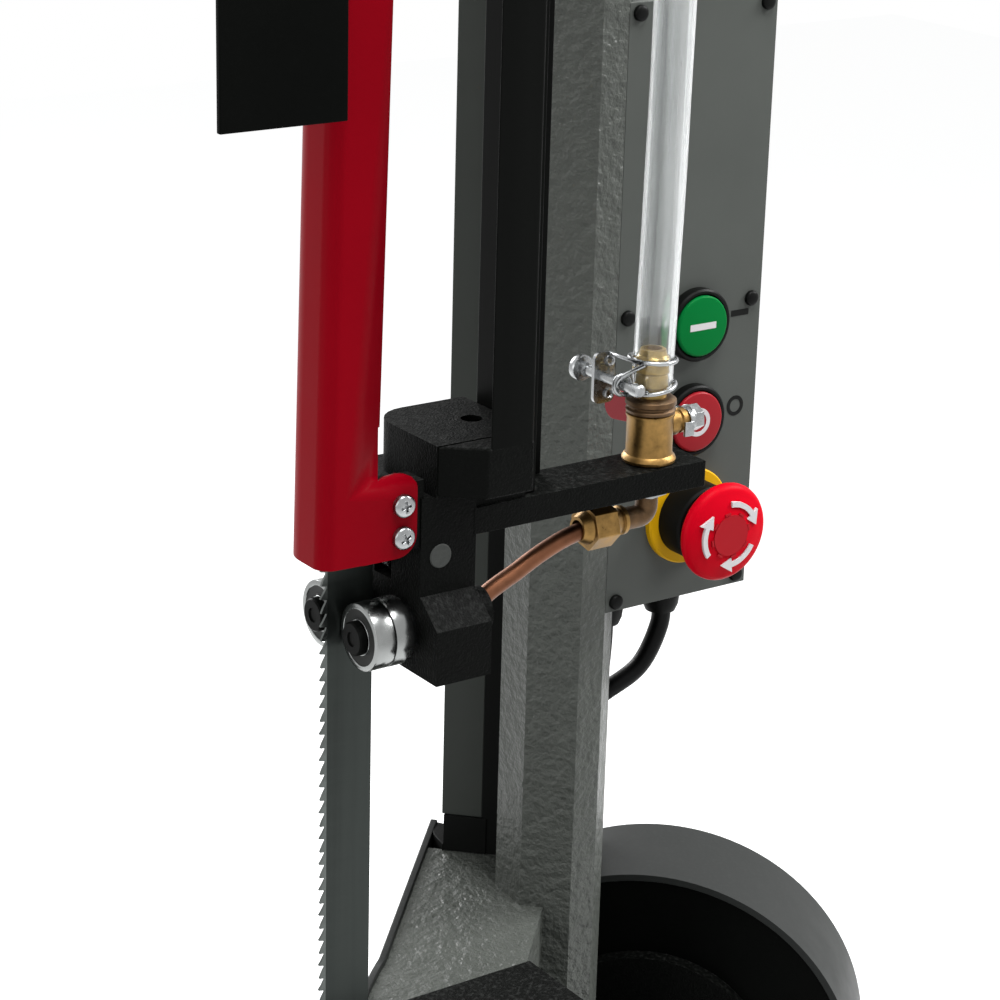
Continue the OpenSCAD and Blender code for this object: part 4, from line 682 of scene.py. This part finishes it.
def clampParts(c, v):
    # two bent wires round the hose, tied to a pressed plate by one long screw
    ring = v["hoseRadius"] + 0.1 + c["wire"]
    parts = []
    for z, tilt in ((c["low"], 1.3), (c["high"], -0.4)):
        angles = np.radians(np.linspace(0, 360, 73))[:-1]
        loop = np.column_stack([v["x"] + ring * np.cos(angles), v["y"] + ring * np.sin(angles),
                                v["top"] + z + tilt * np.cos(angles)])
        parts.append((tubeAlong(np.vstack([loop, loop[:1]]), c["wire"], sides=12, capEnds=False), zincPlate))
    low, high = v["top"] + c["low"], v["top"] + c["high"]
    links = [[(104.6, 13.2, 73.6), (102.6, 7.5, 74.6), (103.0, 1.5, 74.8), (104.6, -3.6, high)],
             [(105.0, -4.6, high - 0.2), (102.8, -1.5, high - 2.6), (99.6, 1.4, 68.8), (98.4, 2.4, 65.6),
              (101.0, 2.2, 63.2), (103.6, -2.0, 63.8), (105.6, -5.6, low)]]
    for link in links:
        parts.append((tubeAlong(smoothPath(link, 10), c["wire"], sides=12), zincPlate))
    x0, x1, z0, z1 = c["plate"]
    parts.append((prism(roundedBox(x0, x1, z0, z1, 2.4), c["plateY"] - 0.7, c["plateY"] + 0.7, axis="y"), zincPlate))
    for z in (z0 + 3.0, z1 - 3.2):
        eyelet = [(0, 0), (2.0, 0), (1.9, 0.5), (1.3, 0.7), (0.9, 0.2), (0, 0.2)]
        parts.append((lathe(eyelet, (x1 - 2.4, c["plateY"] - 0.69, z), (0, -1, 0), sides=24), zincPlate))
    length = c["screwEnd"] - c["screwStart"]
    screw = [(0, 0), (1.6, 0), (2.2, 0.6), (2.2, 4.0), (1.7, 4.4), (1.7, length - 6), (2.4, length - 5.8),
             (2.4, length - 3.6), (4.2, length - 3.4), (4.5, length - 2.8), (4.3, length - 0.8),
             (3.6, length), (0, length)]
    parts.append((lathe(screw, (c["screwX"], c["screwStart"], c["screwZ"]), (0, 1, 0), sides=32), zincPlate))
    eye = np.radians(np.linspace(0, 360, 37))
    eyeLoop = np.column_stack([c["screwX"] + 3.4 * np.cos(eye), 2.0 + 0 * eye, c["screwZ"] + 3.4 * np.sin(eye)])
    parts.append((tubeAlong(eyeLoop, c["wire"], sides=10, capEnds=False), zincPlate))
    return parts


piece("hoseClampWires", "guide", clampParts(clamp, valve), ["hose_clamp"], angle=40)

hoseStart, hoseEnd = valve["top"] + valve["hoseLow"], valve["top"] + valve["rise"]
hoseZ = np.linspace(hoseStart, hoseEnd, 60)
wave = 0.05 * np.sin((hoseZ - hoseZ[0]) / 9.0)
outerWall = np.column_stack([valve["hoseRadius"] - 0.06 + wave, hoseZ])
innerWall = np.column_stack([valve["hoseBore"] + 0.02 + np.zeros_like(hoseZ), hoseZ])[::-1]
hosePoints, hoseFaces = lathe(np.vstack([outerWall, innerWall]), (valve["x"], valve["y"], 0), (0, 0, 1), sides=64,
                              closed=True)
# the hose bows sideways by half a sine wave between its two ends
hosePoints[:, 0] += valve["hoseBow"] * np.sin(math.pi * (hosePoints[:, 2] - hoseStart) / (hoseEnd - hoseStart))
hose = piece("coolantHoseClear", "guide", [((hosePoints, hoseFaces), clearPvc)], ["coolant_hose"])
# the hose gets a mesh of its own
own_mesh(hose)

elbow = {"z": 20.5, "radius": 3.8, "nut": 13.6, "nutX": (86.5, 95.5)}
cornerTurn = np.radians(np.linspace(0, 90, 8))
elbowPath = np.vstack([[(valve["x"], 0, 31.0), (valve["x"], 0, 27.0)],
                       np.column_stack([valve["x"] - 3.5 + 3.5 * np.cos(cornerTurn), 0 * cornerTurn,
                                        24.0 - 3.5 * np.sin(cornerTurn)]), [(101.0, 0, 20.5), (98.0, 0, 20.5)]])
elbowParts = [
    (tubeAlong(elbowPath, elbow["radius"], sides=28), tarnishedBrass),
    (prism(hexOutline(13.0, (valve["x"] - 1.0, 0), 12), 28.6, 30.58), zincPlate),
    (lathe([(0, 0), (6.4, 0), (5.6, 1.2), (4.3, 4.0), (4.3, 4.4), (4.9, 4.7), (4.9, 6.0), (4.4, 6.3), (0, 6.3)],
           (95.4, 0, elbow["z"]), (1, 0, 0), sides=40), brass),
    (prism(hexOutline(elbow["nut"], (0, elbow["z"]), 12), *elbow["nutX"], axis="x"), brass),
    (lathe([(3.05, 0), (4.1, 0), (5.8, 3.2), (3.05, 3.2)], (83.4, 0, elbow["z"]), (1, 0, 0), sides=40,
           closed=True), brass),
]
piece("elbowFitting", "guide", elbowParts, ["pipe_elbow"], bevel=0.5, angle=30)
pipeRoute = [(90, 0, 20.4), (86, 0, 19.8), (77.4, 0, 18.0), (67.3, -0.5, 14.6), (58.2, -1, 10.6), (49.2, -1.8, 7.2),
             (44, -2, 4.4), (40.5, -2, 2.3), (37.5, -2, 1.5)]
piece("copperPipeBent", "guide", [(tubeAlong(smoothPath(pipeRoute), 2.95, sides=32), copper)], ["copper_pipe"])
print("coolant line made")

# Push buttons, emergency stop and their marks
panel = {"x": 222.0, "face": panelFace, "start": 42.5, "stop": 4.2, "estop": -35.0, "cap": 12.0, "proud": 5.5}
bezelProfile = [(12.35, 0.0), (12.45, 4.3), (12.8, 4.5), (13.6, 4.4), (14.25, 3.8), (14.3, 0.0)]


def capProfile(radius, proud):  # flat cap with a rolled edge, and its stem behind
    edge = arcPoints(0.9, 90, 0, 6, (radius - 0.9, proud - 0.9))
    return np.vstack([[(0, proud)], edge, [(radius, proud - 1.6), (5.6, proud - 1.7), (5.6, -12.0), (0, -12.0)]])


bezels = []
for z in (panel["start"], panel["stop"]):
    bezels.append((lathe(bezelProfile, (panel["x"], panel["face"] - 0.02, z), (0, -1, 0), closed=True), blackPlastic))
    floor = [(6.2, 0), (6.2, 0.5), (12.4, 0.5), (12.4, 0)]
    bezels.append((lathe(floor, (panel["x"], panel["face"] - 0.02, z), (0, -1, 0), closed=True), blackPlastic))
legendRing = [(14.9, 0), (14.9, 2.6), (15.3, 3.0), (18.8, 2.9), (19.4, 2.3), (19.4, 0)]
stopCollar = [(10.35, 0), (10.35, 15.2), (14.4, 15.2), (15.3, 14.4), (15.3, 0)]
for profile, material in ((legendRing, yellowPlastic), (stopCollar, blackPlastic)):
    origin = (panel["x"], panel["face"] - 0.02, panel["estop"])
    bezels.append((lathe(profile, origin, (0, -1, 0), closed=True), material))
piece("switchBezels", "bow", bezels, ["button_bezels"], angle=30)


def flatMark(outline, z, y, thick=0.12):  # an outline about a button's centre, as a thin layer on a face
    return prism(np.asarray(outline) + (panel["x"], z), y - thick, y, axis="y")


def barOutline(length, height, centre=(0, 0)):
    x, z = length / 2, height / 2
    return np.array([(-x, -z), (x, -z), (x, z), (-x, z)]) + centre


capFace = panel["face"] - panel["proud"] + 0.03
for name, body, node, z, material in (("startCap", "start", "start_button", panel["start"], greenPlastic),
                                      ("stopCap", "stop", "stop_button", panel["stop"], redPlastic)):
    cap = lathe(capProfile(panel["cap"] - 0.05, panel["proud"]), (panel["x"], panel["face"], z), (0, -1, 0))
    mark = (flatMark(barOutline(12.5, 2.6), z, capFace), whiteMark) if name == "startCap" else (
        prism(ringBand(3.9, 5.7, 0, 359.9, 64) + (panel["x"], z), capFace - 0.12, capFace, axis="y"), whiteMark)
    piece(name, body, [(cap, material), mark], [node], angle=30)

panelMarks = [(flatMark(barOutline(8.6, 2.4, (22.3, 1.3)), panel["start"], panelFace - 0.01), blackMark),
              (prism(ringBand(2.6, 4.1, 0, 359.9, 48) + (panel["x"] + 22.5, panel["stop"] + 1.8), panelFace - 0.13,
                     panelFace - 0.01, axis="y"), blackMark)]
piece("panelMarks", "bow", panelMarks)

estop = {"radius": 19.6, "neck": 9.9, "proud": 28.9}


def estopProfile(e):
    # Mushroom head: a shallow dome, a rolled rim, a skirt that goes over the collar, and the neck.
    dome = arcPoints(1, 90, 35, 10)
    dome = np.column_stack([dome[:, 0] / dome[-1, 0] * (e["radius"] - 3.2), e["proud"] - 2.2 + 2.2 * (
        (dome[:, 1] - dome[-1, 1]) / (1 - dome[-1, 1]))])
    rim = arcPoints(3.2, 70, -70, 10, (e["radius"] - 3.2, e["proud"] - 5.4))
    skirt, hollow = e["proud"] - 9.6, e["proud"] - 5.4
    return np.vstack([dome, rim, [(16.6, skirt), (15.8, skirt), (15.8, hollow), (e["neck"], hollow - 0.1),
                                  (e["neck"], -12.0), (0, -12.0)]])


estopOrigin = (panel["x"], panel["face"], panel["estop"])
estopParts = [(lathe(estopProfile(estop), estopOrigin, (0, -1, 0), sides=96), stopRed),
              (lathe([(0, -1), (8.2, -1), (8.2, 0.05), (0, 0.05)],
                     (panel["x"], panel["face"] - estop["proud"], panel["estop"]), (0, -1, 0)), paintedShadeRed)]
domeFace = panel["face"] - estop["proud"] + 1.0
arrow = {"starts": (90, -28, 214), "sweep": 56, "tipSweep": 80, "band": (11.3, 13.4), "head": (9.4, 12.6, 15.5)}
for start in arrow["starts"]:
    # each arrow is an arc and a broad head, and turns clockwise as it's looked at
    end = start - arrow["sweep"]
    headAngles = (end, start - arrow["tipSweep"], end)
    head = np.vstack([arcPoints(r, angle, angle, 1) for r, angle in zip(arrow["head"], headAngles)])
    for outline in (ringBand(*arrow["band"], end, start, 20), head):
        estopParts.append((prism(outline + (panel["x"], panel["estop"]), domeFace - 0.75, domeFace + 1.6, axis="y"),
                           whiteMark))
for a in np.radians(np.arange(8) * 45 + 12):
    # small notches round the middle, in painted shade
    notch = barOutline(2.6, 0.9) @ np.array([[math.cos(a), math.sin(a)], [-math.sin(a), math.cos(a)]])
    ring = 8.9
    notch += (panel["x"] + ring * math.cos(a + math.pi / 2), panel["estop"] + ring * math.sin(a + math.pi / 2))
    estopParts.append((prism(notch, domeFace - 1.0, domeFace + 0.6, axis="y"), paintedShadeRed))
piece("emergencyStopHead", "estop", estopParts, ["estop_head"], angle=35)
print("switches made")

# Cables
cable = {"diameter": 8.0, "glandY": 150.0, "glandZ": -85.5, "glandX": (211, 240)}
route1 = [(211, 150, -85.5), (211, 150, -97.5), (210, 150, -111.5), (208, 150, -123.5), (204.5, 150, -132.5),
          (200.3, 150, -136)]
route2 = [(240, 150, -85.5), (240, 150, -97.5), (231, 150.5, -114), (216, 154, -124), (211, 167, -137),
          (213, 185, -152), (219, 200, -166), (224.8, 207.9, -177), (226.8, 209.9, -185), (226.8, 209.9, -193)]


def glandParts(x):
    nut = prism(hexOutline(18.5, (x, cable["glandY"]), 14), cable["glandZ"] + 3.5, cable["glandZ"] + 9.5)
    dome = lathe([(4.2, -5.5), (6.2, -5.0), (7.4, -2.0), (8.0, 3.4), (8.0, 15.9), (4.2, 15.9)],
                 (x, cable["glandY"], cable["glandZ"]), (0, 0, 1), sides=40, closed=True)
    return [(nut, blackPlastic), (dome, blackPlastic)]


cableParts = [(tubeAlong(smoothPath(route), cable["diameter"] / 2 - 0.05), cablePvc) for route in (route1, route2)]
cableParts.append((lathe([(0, 0), (7, 0), (7, 5.5), (5, 8), (0, 8)], (226.8, 209.9, -201), (0, 0, 1)), blackPlastic))
piece("motorLeads", "bow", cableParts + [part for x in cable["glandX"] for part in glandParts(x)],
      ["motor_cables"], angle=40)
print("cables made")

# Floor, lamps and camera
stage = {"size": 14.0, "floor": "#e9eaea", "background": 1.0, "ambient": 0.45, "lift": 0.6}


def seenRays(tree):  # 1 for camera, glossy and transmission rays, else 0
    rays = addNode(tree, "ShaderNodeLightPath").outputs
    first = addNode(tree, "ShaderNodeMath", {0: rays["Is Camera Ray"], 1: rays["Is Transmission Ray"]},
                    operation="MAXIMUM").outputs["Value"]
    return addNode(tree, "ShaderNodeMath", {0: first, 1: rays["Is Glossy Ray"]}, operation="MAXIMUM").outputs["Value"]


floorData = bpy.data.meshes.new("floor")
half = stage["size"] / 2
floorData.from_pydata([(-half, -half, 0), (half, -half, 0), (half, half, 0), (-half, half, 0)], [], [(0, 1, 2, 3)])
floorThing = bpy.data.objects.new("floor", floorData)
bpy.context.scene.collection.objects.link(floorThing)
floorMaterial = surfaceMaterial("paleStudioFloor", stage["floor"], 0.8, mottle=0.0, roughVary=0.0, specular=0.0)
tree = floorMaterial.node_tree
shader = tree.nodes["Principled BSDF"]
# where it is looked at, the floor adds light of its own until it reads as white, and keeps the shadow
lift = addNode(tree, "ShaderNodeMath", {0: seenRays(tree), 1: stage["lift"]}, operation="MULTIPLY").outputs["Value"]
tree.links.new(lift, shader.inputs["Emission Strength"])
shader.inputs["Emission Color"].default_value = (1, 1, 1, 1)
floorData.materials.append(floorMaterial)

world = bpy.data.worlds.new("studio")
bpy.context.scene.world = world
world.use_nodes = True
tree = world.node_tree
level = addNode(tree, "ShaderNodeMapRange", {"Value": seenRays(tree), "To Min": stage["ambient"],
        "To Max": stage["background"]}).outputs["Result"]
tree.links.new(level, tree.nodes["Background"].inputs["Strength"])
tree.nodes["Background"].inputs["Color"].default_value = (1, 1, 1, 1)


def addLamp(name, place, target, size, power):
    lamp = bpy.data.lights.new(name, "AREA")
    lamp.shape, lamp.size, lamp.energy = "DISK", size, power
    thing = bpy.data.objects.new(name, lamp)
    thing.location = place
    thing.rotation_euler = (Vector(target) - Vector(place)).to_track_quat("-Z", "Y").to_euler()
    bpy.context.scene.collection.objects.link(thing)


lookedAt = (0.25, -0.02, 1.4)
# place, size and power; the last two are soft light from behind, for the views that the photograph doesn't have
lamps = {"keyLamp": ((0.3, -0.7, 3.8), 1.3, 74), "fillLamp": ((-2.0, -0.9, 2.4), 1.6, 9),
         "sideLamp": ((1.9, -0.5, 2.5), 0.9, 46), "backLamp": ((0.2, 3.2, 2.4), 1.6, 85),
         "leftLamp": ((-3.2, 0.6, 1.9), 1.6, 22)}
for name, (place, size, power) in lamps.items():
    addLamp(name, place, lookedAt, size, power)

photoCamera = {"place": (-0.20785, -0.72014, 1.67394), "lens": 98.21,
               "right": (0.82277, -0.56779, 0.02557), "down": (-0.16889, -0.28720, -0.94286),
               "forward": (0.54269, 0.77145, -0.33220)}
cameraData = bpy.data.cameras.new("camera")
cameraData.lens, cameraData.sensor_width = photoCamera["lens"], 36
cameraData.clip_start, cameraData.clip_end = 0.01, 100
camera = bpy.data.objects.new("camera", cameraData)
right, down, forward = (Vector(photoCamera[key]) for key in ("right", "down", "forward"))
axes = Matrix((right, -down, -forward)).transposed()
camera.matrix_world = Matrix.Translation(photoCamera["place"]) @ axes.to_4x4()
bpy.context.scene.collection.objects.link(camera)
bpy.context.scene.camera = camera
bpy.context.scene.view_settings.view_transform = "Standard"
print("stage set")
